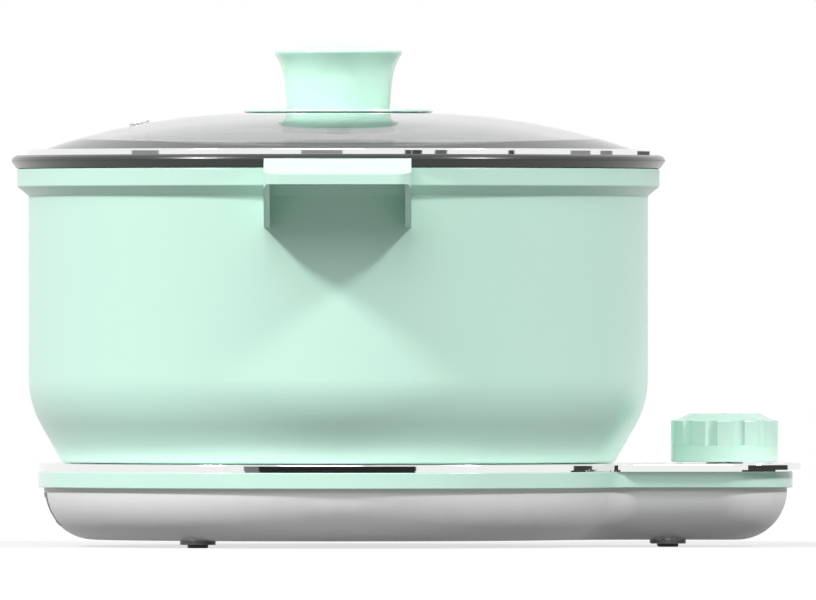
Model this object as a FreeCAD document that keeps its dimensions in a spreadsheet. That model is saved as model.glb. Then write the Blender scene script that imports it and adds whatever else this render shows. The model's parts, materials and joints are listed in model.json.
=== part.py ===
import FreeCAD, Part
import math
import os
import Sketcher

# Electric hot pot with a lift-off glass lid, on a base whose tongue carries the dial.
# Millimetres, +Z up, +X from the pot towards the dial, handles on the -Y and +Y sides.
# The origin is the middle of the whole object's footprint, on the surface it stands on.

# Driving dimensions. Each is one cell of the sheet, and everything else follows them.
SIZES = {
    # clearances
    "rest_gap": 0.3,            # between pieces of two bodies that rest on each other
    "side_gap": 0.4,            # round a piece that drops into a recess
    "join_gap": 0.1,            # between pieces that are fastened together
    "running_gap": 0.05,        # on a radius, between a shaft and its bore
    # feet and base tray
    "pad_radius": 4.7,
    "pad_height": 1.5,
    "seat_radius": 8.1,
    "seat_height": 1.7,
    "foot_back_x": 63.7,        # from the pot's axis towards -X
    "foot_back_y": 91.0,
    "foot_front_x": 150.9,      # from the pot's axis towards the dial
    "foot_front_y": 22.0,
    "tray_height": 23.9,
    "tray_round": 22.9,
    "tray_wall": 2.4,
    "tray_floor": 2.4,
    "tray_inset": 2.6,
    # plan of the mint band: a round about the pot's axis and a tongue
    "band_radius": 137.5,
    "band_height": 7.4,
    "band_wall": 2.6,
    "band_floor": 2.0,
    "band_floor_width": 36.0,
    "tongue_reach": 208.0,
    "tongue_half": 48.0,
    "tongue_corner": 32.0,
    "tongue_hollow": 14.0,
    # screws that close the base
    "screw_circle": 106.5,
    "boss_radius": 5.2,
    "screw_radius": 1.6,
    "screw_head_radius": 3.2,
    "screw_head_height": 2.2,
    "screw_recess": 11.0,
    # air slots in the tray's floor
    "slot_length": 46.0,
    "slot_width": 3.2,
    "slot_pitch": 9.0,
    # polished cover
    "plate_radius": 137.7,
    "plate_reach": 212.0,
    "plate_half": 51.5,
    "plate_corner": 34.0,
    "plate_hollow": 12.0,
    "plate_height": 2.9,
    "plate_sheet": 1.0,
    "plate_edge_round": 1.2,
    "strip_height": 0.8,
    "strip_inset": 1.0,
    # hot plate, heater, shield and posts
    "heat_radius": 88.0,
    "heat_rise": 0.9,
    "heat_thick": 4.2,
    "heat_bore": 13.6,
    "element_circle": 67.0,
    "element_radius": 3.3,
    "element_sweep": 318.0,
    "rib_width": 14.0,
    "rib_depth": 5.6,
    "pin_radius": 2.0,
    "pin_length": 9.0,
    "shield_radius": 84.0,
    "shield_sheet": 0.8,
    "shield_lip": 5.0,
    "shield_floor_z": 15.0,
    "post_circle": 79.0,
    "post_radius": 4.5,
    "post_neck_radius": 2.6,
    # temperature probe
    "probe_radius": 9.5,
    "probe_wall": 0.9,
    "probe_rise": 1.0,
    "probe_height": 10.0,
    "probe_flange": 1.6,
    "probe_travel": 2.0,
    "sleeve_wall": 1.0,
    "sleeve_flange_radius": 20.0,
    "spring_radius": 6.4,
    "spring_wire": 0.6,
    "spring_turns": 5.0,
    # dial and thermostat, on the dial's axis
    "dial_x": 177.0,            # from the pot's axis
    "dial_radius": 24.6,
    "dial_skirt": 7.5,
    "dial_flutes": 11.45,
    "dial_ledge": 0.65,
    "dial_cone": 2.5,
    "dial_ledge_radius": 20.7,
    "dial_top_radius": 16.2,
    "dial_wall": 2.2,
    "flute_count": 12.0,
    "flute_radius": 3.0,
    "flute_offset": 1.2,
    "shaft_radius": 3.0,
    "shaft_up": 14.0,
    "bush_radius": 8.4,
    "bush_thick": 0.3,
    "bush_neck_radius": 4.8,
    "nut_flats": 14.0,
    "nut_height": 2.4,
    "thermostat_width": 30.0,
    "thermostat_depth": 24.0,
    "thermostat_height": 13.0,
    # indicator light
    "lens_x": 176.0,
    "lens_y": 36.5,
    "lens_radius": 2.5,
    "lamp_length": 9.0,
    # appliance inlet, opposite the dial
    "inlet_low": 9.4,
    "inlet_high": 24.8,
    "inlet_sweep": 17.0,
    "inlet_back": 108.0,
    "inlet_mouth_half": 14.0,
    "inlet_mouth_back": 118.5,
    "inlet_wall": 2.2,
    "inlet_pin_radius": 2.0,
    "inlet_pin_apart": 19.0,
    "inlet_pin_length": 9.5,
    # pot jacket
    "wall_radius": 141.9,
    "jacket_sheet": 1.5,
    "jacket_height": 134.6,
    "jacket_mouth": 96.0,
    "bend_radius": 43.5,
    "bend_rise": 38.7,
    "bend_turn": 29.4,
    "collar_radius": 147.2,
    "collar_height": 8.2,
    "collar_slope": 4.4,
    "jacket_foot_round": 2.2,
    # pan
    "air_gap": 4.0,
    "pan_thick": 3.0,
    "pan_floor": 3.2,
    "pan_inner_round": 10.0,
    "rim_radius": 150.0,
    "rim_height": 5.9,
    "rim_root_radius": 147.5,
    "rim_width": 6.5,
    "rim_round": 2.5,
    "ledge_drop": 3.6,
    "sole_radius": 94.0,
    "sole_thick": 4.4,
    # handles
    "handle_half": 33.4,
    "handle_reach": 184.0,
    "handle_wall": 2.75,
    "handle_top": 3.9,          # above the jacket's top edge
    "handle_fall": 7.3,
    "handle_lip": 4.5,
    "handle_cheek": 31.1,
    "handle_cheek_root": 10.0,
    "handle_root": 4.2,
    "handle_edge_round": 1.7,
    "handle_corner_round": 7.0,
    "handle_screw_apart": 36.0,
    "handle_screw_head": 2.6,
    # lid band and glass
    "ring_height": 6.0,
    "ring_sheet": 0.6,
    "ring_flange": 5.3,
    "dome_rise": 17.0,
    "dome_flat": 34.4,
    "glass_thick": 4.0,
    "glass_land": 5.0,
    # steam eyelet
    "vent_at": 91.1,
    "vent_radius": 4.75,
    "vent_tube": 2.9,
    "vent_bore": 2.1,
    "vent_flange": 0.9,
    # lid knob
    "disc_radius": 43.3,
    "disc_thick": 0.7,
    "disc_lip": 0.6,
    "knob_foot_radius": 23.6,
    "knob_waist_radius": 24.9,
    "knob_waist_height": 13.9,
    "knob_flare_radius": 28.9,
    "knob_flare_height": 25.1,
    "knob_flare_bend": 24.0,
    "knob_rim_radius": 29.3,
    "knob_height": 27.3,
    "knob_wall": 2.4,
    "cap_radius": 20.6,
    "cap_seat": 1.6,
    "cap_rise": 3.2,
    "seat_top_radius": 24.0,
    "seat_foot_radius": 26.8,
    "seat_drop": 3.0,
    "insert_radius": 4.4,
    "insert_length": 12.0,
    "lid_screw_radius": 2.4,
    "lid_screw_head_radius": 5.5,
    "lid_screw_head": 2.2,
}

doc = FreeCAD.newDocument("hot_pot")
sheet = doc.addObject("Spreadsheet::Sheet", "Sizes")
for row, (alias, number) in enumerate(SIZES.items(), start=1):
    sheet.set("A%d" % row, alias)
    sheet.set("B%d" % row, str(number))
    sheet.setAlias("B%d" % row, alias)
doc.recompute()


class Size:
    """A number together with the expression over the sheet that gives it."""

    def __init__(self, number, text):
        self.number = float(number)
        self.text = text

    def join(self, sign, other, number):
        return Size(number, "(%s %s %s)" % (self.text, sign, other.text))

    def __add__(self, other):
        other = as_size(other)
        return self.join("+", other, self.number + other.number)

    def __sub__(self, other):
        other = as_size(other)
        return self.join("-", other, self.number - other.number)

    def __mul__(self, other):
        other = as_size(other)
        return self.join("*", other, self.number * other.number)

    def __truediv__(self, other):
        other = as_size(other)
        return self.join("/", other, self.number / other.number)

    def __radd__(self, other):
        return as_size(other) + self

    def __rsub__(self, other):
        return as_size(other) - self

    def __rmul__(self, other):
        return as_size(other) * self

    def __neg__(self):
        return as_size(0) - self


def as_size(value):
    return value if isinstance(value, Size) else Size(value, "(%r)" % float(value))


def root(size):
    return Size(math.sqrt(size.number), "sqrt(%s)" % size.text)


def sine(degrees):
    return Size(math.sin(math.radians(degrees.number)), "sin(%s)" % degrees.text)


def cosine(degrees):
    return Size(math.cos(math.radians(degrees.number)), "cos(%s)" % degrees.text)


def arc_sine(share):
    return Size(math.degrees(math.asin(share.number)), "asin(%s)" % share.text)


class Sheet:
    """Reads the sheet's cells by name, as sizes that stay linked to them."""

    def __getattr__(self, alias):
        return Size(sheet.get(alias), "Sizes." + alias)


s = Sheet()


def link(thing, path, size):
    thing.setExpression(path, as_size(size).text)


# Heights of the stack, from the table up to the knob's crown.
tray_z = s.pad_height + s.seat_height
band_z = tray_z + s.tray_height
strip_z = band_z + s.band_height
plate_z = strip_z + s.strip_height
plate_top = plate_z + s.plate_height
jacket_z = plate_top + s.rest_gap
heat_top = plate_top + s.heat_rise
heat_z = heat_top - s.heat_thick
sole_z = heat_top + s.rest_gap
pan_z = sole_z + s.sole_thick
jacket_top = jacket_z + s.jacket_height
rim_z = jacket_top + s.join_gap
rim_top = rim_z + s.rim_height
ledge_z = rim_top - s.ledge_drop
ring_z = ledge_z + s.rest_gap
ring_top = ring_z + s.ring_height
dome_top = ring_top + s.dome_rise
glass_under = dome_top - s.glass_thick
knob_z = dome_top + s.disc_thick + s.disc_lip
knob_top = knob_z + s.knob_height
probe_top = heat_top + s.probe_rise
dial_z = plate_top + s.bush_thick + s.rest_gap

# Places across the base.
pot_x = (s.rim_radius - s.plate_reach) / 2
dial_axis = pot_x + s.dial_x

# The lid's parts drop into the pan's rim with one side gap.
step_radius = s.rim_radius - s.rim_width
ring_radius = step_radius - s.side_gap
flange_radius = ring_radius - s.ring_flange
glass_radius = ring_radius - s.ring_sheet - s.side_gap
dome_run = flange_radius - s.dome_flat
dome_fall = dome_top - (ring_top - s.ring_sheet - s.join_gap)
dome_radius = (dome_run * dome_run + dome_fall * dome_fall) / (2 * dome_fall)


class Point:
    """A corner of an outline; with a bend, an arc of that radius leaves it."""

    def __init__(self, across, up, bend=None, left=True, major=False):
        self.across = as_size(across)
        self.up = as_size(up)
        self.bend = None if bend is None else as_size(bend)
        self.left = left
        self.major = major

    def spot(self):
        return FreeCAD.Vector(self.across.number, self.up.number, 0)


def segment(start, end):
    """The edge that leaves a corner, and which of its ends the outline enters by."""
    here, there = start.spot(), end.spot()
    if start.bend is None:
        return Part.LineSegment(here, there), 1
    chord = there - here
    half = chord.Length / 2
    rise = math.sqrt(max(start.bend.number ** 2 - half ** 2, 0.0))
    side = FreeCAD.Vector(-chord.y, chord.x, 0).normalize()
    if start.left == start.major:
        side = side * -1
    centre = (here + there) * 0.5 + side * rise
    circle = Part.Circle(centre, FreeCAD.Vector(0, 0, 1), start.bend.number)
    first, last = (here, there) if start.left else (there, here)
    begin = math.atan2(first.y - centre.y, first.x - centre.x)
    finish = math.atan2(last.y - centre.y, last.x - centre.x)
    if finish <= begin:
        finish += 2 * math.pi
    return Part.ArcOfCircle(circle, begin, finish), 1 if start.left else 2


def pin_point(sketch, edge, end, across, up):
    """Holds one point of a sketch at two linked sizes."""
    for kind, size in (("DistanceX", across), ("DistanceY", up)):
        number = as_size(size).number
        index = sketch.addConstraint(Sketcher.Constraint(kind, edge, end, number))
        link(sketch, "Constraints[%d]" % index, size)


def draw(sketch, points):
    """Draws a closed outline through its corners and holds every one of them."""
    edges = []
    for index, start in enumerate(points):
        shape, entry = segment(start, points[(index + 1) % len(points)])
        edges.append((sketch.addGeometry(shape), entry, start))
    for index, (edge, entry, start) in enumerate(edges):
        after, after_entry, _ = edges[(index + 1) % len(edges)]
        joint = Sketcher.Constraint("Coincident", edge, 3 - entry, after, after_entry)
        sketch.addConstraint(joint)
    for edge, entry, start in edges:
        pin_point(sketch, edge, entry, start.across, start.up)
        if start.bend is not None:
            bend = Sketcher.Constraint("Radius", edge, start.bend.number)
            link(sketch, "Constraints[%d]" % sketch.addConstraint(bend), start.bend)


def draw_circle(sketch, across, up, radius):
    centre = FreeCAD.Vector(as_size(across).number, as_size(up).number, 0)
    circle = Part.Circle(centre, FreeCAD.Vector(0, 0, 1), as_size(radius).number)
    edge = sketch.addGeometry(circle)
    pin_point(sketch, edge, 3, across, up)
    width = Sketcher.Constraint("Radius", edge, as_size(radius).number)
    link(sketch, "Constraints[%d]" % sketch.addConstraint(width), radius)


def rectangle(left, low, right, high):
    return [Point(left, low), Point(right, low), Point(right, high), Point(left, high)]


def rounded_rectangle(left, low, right, high, corner):
    return [
        Point(left + corner, low),
        Point(right - corner, low, corner),
        Point(right, low + corner),
        Point(right, high - corner, corner),
        Point(right - corner, high),
        Point(left + corner, high, corner),
        Point(left, high - corner),
        Point(left, low + corner, corner),
    ]


def mirrored(points):
    """The same outline on the far side of the upright axis."""
    far = []
    for index, point in enumerate(points):
        before = points[index - 1]
        far.insert(0, Point(-point.across, point.up, before.bend, before.left, before.major))
    return far


class Piece:
    """One body of the model, with its own origin on the axis it is built about."""

    def __init__(self, label, axis_x):
        self.body = doc.addObject("PartDesign::Body", label)
        self.body.Label = label
        link(self.body, "Placement.Base.x", axis_x)
        self.count = 0

    def plane(self, role):
        return [f for f in self.body.Origin.OriginFeatures if f.Role == role][0]

    def named(self, kind, word):
        self.count += 1
        return self.body.newObject(kind, "%s_%s_%d" % (self.body.Name, word, self.count))

    def sketch(self, role, offset=0):
        sketch = self.named("Sketcher::SketchObject", "sketch")
        sketch.AttachmentSupport = (self.plane(role), [""])
        sketch.MapMode = "FlatFace"
        link(sketch, "AttachmentOffset.Base.z", offset)
        return sketch

    def outlined(self, role, offset, outlines, circles=()):
        sketch = self.sketch(role, offset)
        for outline in outlines:
            draw(sketch, outline)
        for across, up, radius in circles:
            draw_circle(sketch, across, up, radius)
        return sketch

    def feature(self, kind, sketch):
        feature = self.named("PartDesign::" + kind, kind.lower())
        feature.Profile = sketch
        return feature

    def turn(self, outline, kind="Revolution", sweep=360):
        """Turns an outline of radius and height about the upright axis."""
        sketch = self.outlined("XZ_Plane", 0, [outline])
        feature = self.feature(kind, sketch)
        feature.ReferenceAxis = (sketch, ["V_Axis"])
        feature.Midplane = True
        link(feature, "Angle", sweep)
        doc.recompute()
        return feature

    def raise_up(self, bottom, height, outlines, circles=()):
        """Adds plan outlines, raised from one height."""
        feature = self.feature("Pad", self.outlined("XY_Plane", bottom, outlines, circles))
        link(feature, "Length", height)
        doc.recompute()
        return feature

    def cut_up(self, bottom, height, outlines, circles=()):
        """Cuts plan outlines upwards from one height."""
        feature = self.feature("Pocket", self.outlined("XY_Plane", bottom, outlines, circles))
        feature.Reversed = True
        link(feature, "Length", height)
        doc.recompute()
        return feature

    def across(self, kind, width, outlines, circles=()):
        """Adds or cuts outlines of depth and height, to both sides of the middle."""
        feature = self.feature(kind, self.outlined("YZ_Plane", 0, outlines, circles))
        feature.SideType = "Symmetric" if hasattr(feature, "SideType") else None
        link(feature, "Length", width)
        doc.recompute()
        return feature

    def round_edges(self, radius, test, kind="Fillet"):
        """Rounds the edges that a test picks from the body as it stands."""
        base = self.body.Tip
        edges = enumerate(base.Shape.Edges, start=1)
        names = ["Edge%d" % number for number, edge in edges if test(edge)]
        if not names:
            raise RuntimeError("no edge to round on " + self.body.Label)
        feature = self.named("PartDesign::" + kind, kind.lower())
        feature.Base = (base, names)
        link(feature, "Radius" if kind == "Fillet" else "Size", radius)
        doc.recompute()
        return feature

    def repeat(self, feature, count):
        """Repeats a feature evenly round the upright axis."""
        pattern = self.named("PartDesign::PolarPattern", "round")
        pattern.Originals = [feature]
        pattern.Axis = (self.plane("Z_Axis"), [""])
        pattern.Angle = 360
        link(pattern, "Occurrences", count)
        self.body.Tip = pattern
        doc.recompute()
        return pattern


def flat_at(height):
    """A test for edges that lie level at one height."""
    level = as_size(height).number

    def test(edge):
        box = edge.BoundBox
        return abs(box.ZMin - level) < 1e-4 and abs(box.ZMax - level) < 1e-4

    return test


def ring_at(radius, height):
    """A test for level circles of one radius and height."""
    level = flat_at(height)
    wide = as_size(radius).number

    def test(edge):
        return level(edge) and abs(edge.BoundBox.XLength - 2 * wide) < 1e-3

    return test


def base_plan(radius, half, reach, corner, hollow):
    """A round about the pot's axis, running into a straight tongue towards the dial."""
    span = radius + hollow
    join_x = root(span * span - (half + hollow) * (half + hollow))
    share = radius / span
    meet_x = join_x * share
    meet_y = (half + hollow) * share
    return [
        Point(reach, corner - half),
        Point(reach, half - corner, corner),
        Point(reach - corner, half),
        Point(join_x, half, hollow, left=False),
        Point(meet_x, meet_y, radius, major=True),
        Point(meet_x, -meet_y, hollow, left=False),
        Point(join_x, -half),
        Point(reach - corner, -half, corner),
    ]


def band_plan(inset):
    return base_plan(
        s.band_radius - inset,
        s.tongue_half - inset,
        s.tongue_reach - inset,
        s.tongue_corner - inset,
        s.tongue_hollow + inset,
    )


def plate_plan():
    return base_plan(s.plate_radius, s.plate_half, s.plate_reach, s.plate_corner, s.plate_hollow)


def around(circle, degrees):
    """A place on a circle about the pot's axis."""
    angle = as_size(degrees)
    return circle * cosine(angle), circle * sine(angle)


def foot_places():
    return [
        (-s.foot_back_x, -s.foot_back_y),
        (-s.foot_back_x, s.foot_back_y),
        (s.foot_front_x, -s.foot_front_y),
        (s.foot_front_x, s.foot_front_y),
    ]


def screw_places():
    return [around(s.screw_circle, degrees) for degrees in (35, 100, 155, 205, 260, 325)]


def circles_at(places, radius):
    return [(across, up, radius) for across, up in places]


POST_ANGLES = (0, 120, 240)


def base_tray():
    piece = Piece("base_tray", pot_x)
    piece.raise_up(tray_z, s.tray_height, [band_plan(s.tray_inset)])
    inner = s.tray_inset + s.tray_wall
    depth = s.tray_height - s.tray_floor
    piece.cut_up(tray_z + s.tray_floor, depth, [band_plan(inner)])
    piece.round_edges(s.tray_round - s.tray_wall, flat_at(tray_z + s.tray_floor))
    piece.round_edges(s.tray_round, flat_at(tray_z))
    piece.raise_up(tray_z, s.tray_floor + 3 * s.seat_height, [], circles_at(foot_places(), s.seat_radius))
    screws = screw_places()
    piece.raise_up(tray_z, s.tray_height, [], circles_at(screws, s.boss_radius))
    piece.cut_up(0, band_z - s.screw_recess, [], circles_at(screws, s.screw_head_radius + s.side_gap))
    piece.cut_up(0, band_z, [], circles_at(screws, s.screw_radius + s.join_gap))
    slots = []
    for row in range(-3, 4):
        middle = s.slot_pitch * row
        slots.append(rounded_rectangle(-s.slot_length / 2, middle - s.slot_width / 2, s.slot_length / 2,
                                       middle + s.slot_width / 2, s.slot_width * 0.45))
    piece.cut_up(0, tray_z + s.tray_floor, slots)
    gap = s.side_gap
    opening = rectangle(
        -(s.band_radius + gap), s.inlet_low - gap, -(s.inlet_back - s.tray_wall), s.inlet_high + gap
    )
    piece.turn(opening, "Groove", s.inlet_sweep + 0.4)
    return piece


def base_band():
    piece = Piece("base_band", pot_x)
    piece.raise_up(band_z, s.band_height, [band_plan(0)])
    piece.cut_up(band_z + s.band_floor, s.band_height, [band_plan(s.band_wall)])
    half_x = s.thermostat_width / 2 + s.tray_wall
    half_y = s.thermostat_depth / 2 + 4 * s.tray_wall
    bay = rectangle(s.dial_x - half_x, -half_y, s.dial_x + half_x, half_y)
    holes = [
        (0, 0, s.band_radius - s.band_floor_width),
        (s.lens_x, -s.lens_y, s.lens_radius + s.side_gap),
    ]
    piece.cut_up(band_z, s.band_floor, [bay], holes)
    screws = screw_places()
    lug = s.band_height - 2 * s.rest_gap
    piece.raise_up(band_z, lug, [], circles_at(screws, s.boss_radius))
    piece.cut_up(band_z, lug - s.band_floor, [], circles_at(screws, s.screw_radius + s.join_gap))
    return piece


def base_screws():
    """Pan-head screws, up through the tray's bosses into the band's lugs."""
    piece = Piece("base_screws", pot_x)
    head_z = band_z - s.screw_recess - s.screw_head_height
    reach = s.screw_recess + s.band_height - s.band_floor - 3 * s.rest_gap
    piece.raise_up(head_z, s.screw_head_height, [], circles_at(screw_places(), s.screw_head_radius))
    piece.raise_up(head_z, s.screw_head_height + reach, [], circles_at(screw_places(), s.screw_radius))
    return piece


def top_plate():
    piece = Piece("top_plate", pot_x)
    piece.raise_up(plate_z, s.plate_height, [plate_plan()])
    piece.round_edges(s.plate_edge_round, flat_at(plate_top))
    piece.cut_up(plate_z, s.plate_height - s.plate_sheet, [band_plan(s.band_wall)])
    strip = [band_plan(s.strip_inset), band_plan(s.band_wall)]
    piece.raise_up(strip_z, s.strip_height + s.join_gap, strip)
    holes = [
        (0, 0, s.heat_radius + 2 * s.side_gap),
        (s.dial_x, 0, s.bush_neck_radius + s.join_gap),
        (s.lens_x, -s.lens_y, s.lens_radius + s.join_gap),
    ]
    piece.cut_up(plate_z, s.plate_height, [], holes)
    return piece


def heating_plate():
    """Cast plate whose rib holds the tubular heater in a half-round groove."""
    piece = Piece("heating_plate", pot_x)
    rib_low = heat_z - s.rib_depth
    groove = s.element_radius + s.join_gap
    inner = s.element_circle - s.rib_width / 2
    outer = s.element_circle + s.rib_width / 2
    piece.turn([
        Point(s.heat_bore, heat_z),
        Point(inner, heat_z),
        Point(inner + 1, rib_low),
        Point(s.element_circle - groove, rib_low, groove, left=False),
        Point(s.element_circle, rib_low + groove, groove, left=False),
        Point(s.element_circle + groove, rib_low),
        Point(outer - 1, rib_low),
        Point(outer, heat_z),
        Point(s.heat_radius, heat_z),
        Point(s.heat_radius, heat_top - 0.8),
        Point(s.heat_radius - 0.8, heat_top),
        Point(s.heat_bore, heat_top),
    ])
    return piece


def element_pins():
    half = s.element_sweep / 2
    return [around(s.element_circle, 180 - half), around(s.element_circle, half - 180)]


def heating_element():
    """Open ring of tube, its gap towards the dial, with a cold pin at each end."""
    piece = Piece("heating_element", pot_x)
    level = heat_z - s.rib_depth
    sketch = piece.outlined("XZ_Plane", 0, [], [(-s.element_circle, level, s.element_radius)])
    ring = piece.feature("Revolution", sketch)
    ring.ReferenceAxis = (sketch, ["V_Axis"])
    ring.Midplane = True
    link(ring, "Angle", s.element_sweep)
    doc.recompute()
    piece.raise_up(level - s.pin_length, s.pin_length, [], circles_at(element_pins(), s.pin_radius))
    return piece


def post_places():
    return [around(s.post_circle, degrees) for degrees in (60, 180, 300)]


def heat_shield():
    piece = Piece("heat_shield", pot_x)
    lip = s.shield_lip
    piece.turn([
        Point(s.probe_radius + 5, s.shield_floor_z),
        Point(s.shield_radius, s.shield_floor_z),
        Point(s.shield_radius + lip, s.shield_floor_z + lip),
        Point(s.shield_radius + lip, s.shield_floor_z + lip + s.shield_sheet),
        Point(s.shield_radius + lip - s.shield_sheet, s.shield_floor_z + lip + s.shield_sheet),
        Point(s.shield_radius - s.shield_sheet, s.shield_floor_z + s.shield_sheet),
        Point(s.probe_radius + 5, s.shield_floor_z + s.shield_sheet),
    ])
    holes = circles_at(post_places(), s.post_neck_radius + s.join_gap)
    holes += circles_at(element_pins(), s.pin_radius + 4 * s.side_gap)
    piece.cut_up(s.shield_floor_z, s.shield_sheet, [], holes)
    return piece


def heater_posts():
    """Three stepped posts: the shield sits on their shoulders, the hot plate on top."""
    piece = Piece("heater_posts", pot_x)
    foot = tray_z + s.tray_floor
    piece.raise_up(foot, s.shield_floor_z - foot, [], circles_at(post_places(), s.post_radius))
    piece.raise_up(foot, heat_z - foot, [], circles_at(post_places(), s.post_neck_radius))
    return piece


def probe_cup():
    """Inverted cup that the pan presses down."""
    piece = Piece("probe_cup", pot_x)
    low = probe_top - s.probe_height
    piece.turn([
        Point(s.probe_radius - s.probe_wall, low),
        Point(s.probe_radius + s.probe_flange, low),
        Point(s.probe_radius + s.probe_flange, low + s.probe_wall),
        Point(s.probe_radius, low + s.probe_wall),
        Point(s.probe_radius, probe_top - s.probe_wall, s.probe_wall),
        Point(s.probe_radius - s.probe_wall, probe_top),
        Point(0, probe_top),
        Point(0, probe_top - s.probe_wall),
        Point(s.probe_radius - s.probe_wall, probe_top - s.probe_wall),
    ])
    return piece


def sleeve_floor():
    """Height of the probe sleeve's floor, clear of the cup pressed right down."""
    return probe_top - s.probe_height - s.probe_travel - 2 * s.rest_gap - s.sleeve_wall


def probe_sleeve():
    """Fixed guide whose lip stops the cup, hung under the hot plate by its flange."""
    piece = Piece("probe_sleeve", pot_x)
    low = sleeve_floor()
    inner = s.probe_radius + s.probe_flange + s.rest_gap
    outer = inner + s.sleeve_wall
    lip = probe_top - s.probe_height + s.probe_wall + s.rest_gap
    piece.turn([
        Point(0, low),
        Point(outer, low),
        Point(outer, heat_z - s.sleeve_wall),
        Point(s.sleeve_flange_radius, heat_z - s.sleeve_wall),
        Point(s.sleeve_flange_radius, heat_z),
        Point(outer, heat_z),
        Point(outer, heat_z + s.sleeve_wall),
        Point(s.probe_radius + s.rest_gap, heat_z + s.sleeve_wall),
        Point(s.probe_radius + s.rest_gap, lip),
        Point(inner, lip),
        Point(inner, low + s.sleeve_wall),
        Point(0, low + s.sleeve_wall),
    ])
    return piece


def probe_spring():
    """Open coil between the sleeve's floor and the inside of the cup."""
    low = sleeve_floor() + s.sleeve_wall + s.spring_wire + s.join_gap
    high = probe_top - s.probe_wall - s.spring_wire - s.join_gap
    pitch = (high - low) / s.spring_turns
    coil = doc.addObject("Part::Helix", "probe_spring_path")
    link(coil, "Radius", s.spring_radius)
    link(coil, "Pitch", pitch)
    link(coil, "Height", pitch * s.spring_turns)
    wire = doc.addObject("Part::Circle", "probe_spring_wire")
    link(wire, "Radius", s.spring_wire)
    link(wire, "Placement.Base.x", s.spring_radius)
    wire.Placement.Rotation = FreeCAD.Rotation(FreeCAD.Vector(1, 0, 0), 90)
    spring = doc.addObject("Part::Sweep", "probe_spring")
    spring.Sections = [wire]
    spring.Spine = (coil, [])
    spring.Solid = True
    spring.Frenet = True
    link(spring, "Placement.Base.x", pot_x)
    link(spring, "Placement.Base.z", low)
    doc.recompute()
    return spring


def dial_rise():
    return s.dial_skirt + s.dial_flutes


def control_knob():
    """Hollow dial: smooth skirt, scalloped grip, stepped and coned top."""
    piece = Piece("control_knob", dial_axis)
    ledge = dial_z + dial_rise()
    top = ledge + s.dial_ledge + s.dial_cone
    inner = s.dial_radius - s.flute_radius + s.flute_offset - s.dial_wall
    roof = ledge - s.dial_wall
    piece.turn([
        Point(0, dial_z + s.dial_wall),
        Point(s.shaft_radius + s.dial_wall, dial_z + s.dial_wall),
        Point(s.shaft_radius + s.dial_wall, roof),
        Point(inner, roof),
        Point(inner, dial_z + s.dial_skirt),
        Point(s.dial_radius - s.dial_wall, dial_z + s.dial_skirt - s.dial_wall),
        Point(s.dial_radius - s.dial_wall, dial_z),
        Point(s.dial_radius - 0.4, dial_z),
        Point(s.dial_radius, dial_z + 0.4),
        Point(s.dial_radius, ledge - 0.5, 0.5),
        Point(s.dial_radius - 0.5, ledge),
        Point(s.dial_ledge_radius, ledge + s.dial_ledge),
        Point(s.dial_top_radius, top),
        Point(0, top),
    ])
    cutter = s.dial_radius + s.flute_offset
    turned = arc_sine(as_size(math.sin(math.radians(15))))
    flute = piece.cut_up(dial_z + s.dial_skirt, s.dial_flutes + s.dial_ledge + s.dial_cone, [],
                         [(cutter * cosine(turned), cutter * sine(turned), s.flute_radius)])
    piece.repeat(flute, s.flute_count)
    bore = s.shaft_up - s.dial_wall + s.join_gap
    piece.cut_up(dial_z + s.dial_wall, bore, [], [(0, 0, s.shaft_radius + s.join_gap)])
    return piece


def thermostat_top():
    return plate_top - s.plate_sheet - 2 * s.nut_height - s.join_gap


def thermostat_shaft():
    piece = Piece("thermostat_shaft", dial_axis)
    low = thermostat_top() - s.thermostat_height / 2
    piece.turn([
        Point(0, low),
        Point(s.shaft_radius, low),
        Point(s.shaft_radius, dial_z + s.shaft_up - 0.5),
        Point(s.shaft_radius - 0.5, dial_z + s.shaft_up),
        Point(0, dial_z + s.shaft_up),
    ])
    return piece


def shaft_bore():
    return s.shaft_radius + s.running_gap


def thermostat_body():
    piece = Piece("thermostat_body", dial_axis)
    low = thermostat_top() - s.thermostat_height
    half_x = s.thermostat_width / 2
    half_y = s.thermostat_depth / 2
    piece.raise_up(low, s.thermostat_height, [rounded_rectangle(-half_x, -half_y, half_x, half_y, as_size(2))])
    blade = half_x * 0.5
    tabs = [
        rectangle(-blade - 3, -half_y - 7, -blade + 3, -half_y - 0),
        rectangle(blade - 3, -half_y - 7, blade + 3, -half_y - 0),
    ]
    piece.raise_up(low + 3, as_size(0.8), tabs)
    piece.cut_up(low + s.thermostat_height / 3, s.thermostat_height, [], [(0, 0, shaft_bore())])
    return piece


def knob_bush():
    """Threaded bush: its thin flange shows as a dark collar under the dial."""
    piece = Piece("knob_bush", dial_axis)
    piece.turn([
        Point(shaft_bore(), thermostat_top()),
        Point(s.bush_neck_radius, thermostat_top()),
        Point(s.bush_neck_radius, plate_top),
        Point(s.bush_radius, plate_top),
        Point(s.bush_radius, plate_top + s.bush_thick),
        Point(shaft_bore(), plate_top + s.bush_thick),
    ])
    return piece


def bush_nut():
    piece = Piece("bush_nut", dial_axis)
    high = plate_top - s.plate_sheet - s.join_gap
    across = s.nut_flats / 2 / cosine(as_size(30))
    corners = []
    for step in range(6):
        angle = as_size(60 * step)
        corners.append(Point(across * cosine(angle), across * sine(angle)))
    piece.raise_up(high - s.nut_height, s.nut_height, [corners], [(0, 0, s.bush_neck_radius + s.join_gap)])
    return piece


def indicator_lens():
    piece = Piece("indicator_lens", pot_x)
    place = [(s.lens_x, -s.lens_y, s.lens_radius)]
    wide = [(s.lens_x, -s.lens_y, s.lens_radius + s.plate_sheet)]
    sheet_z = plate_top - s.plate_sheet
    piece.raise_up(sheet_z - s.plate_sheet, s.plate_sheet - s.join_gap, [], wide)
    piece.raise_up(sheet_z - s.plate_sheet, 2 * s.plate_sheet, [], place)
    return piece


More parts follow.
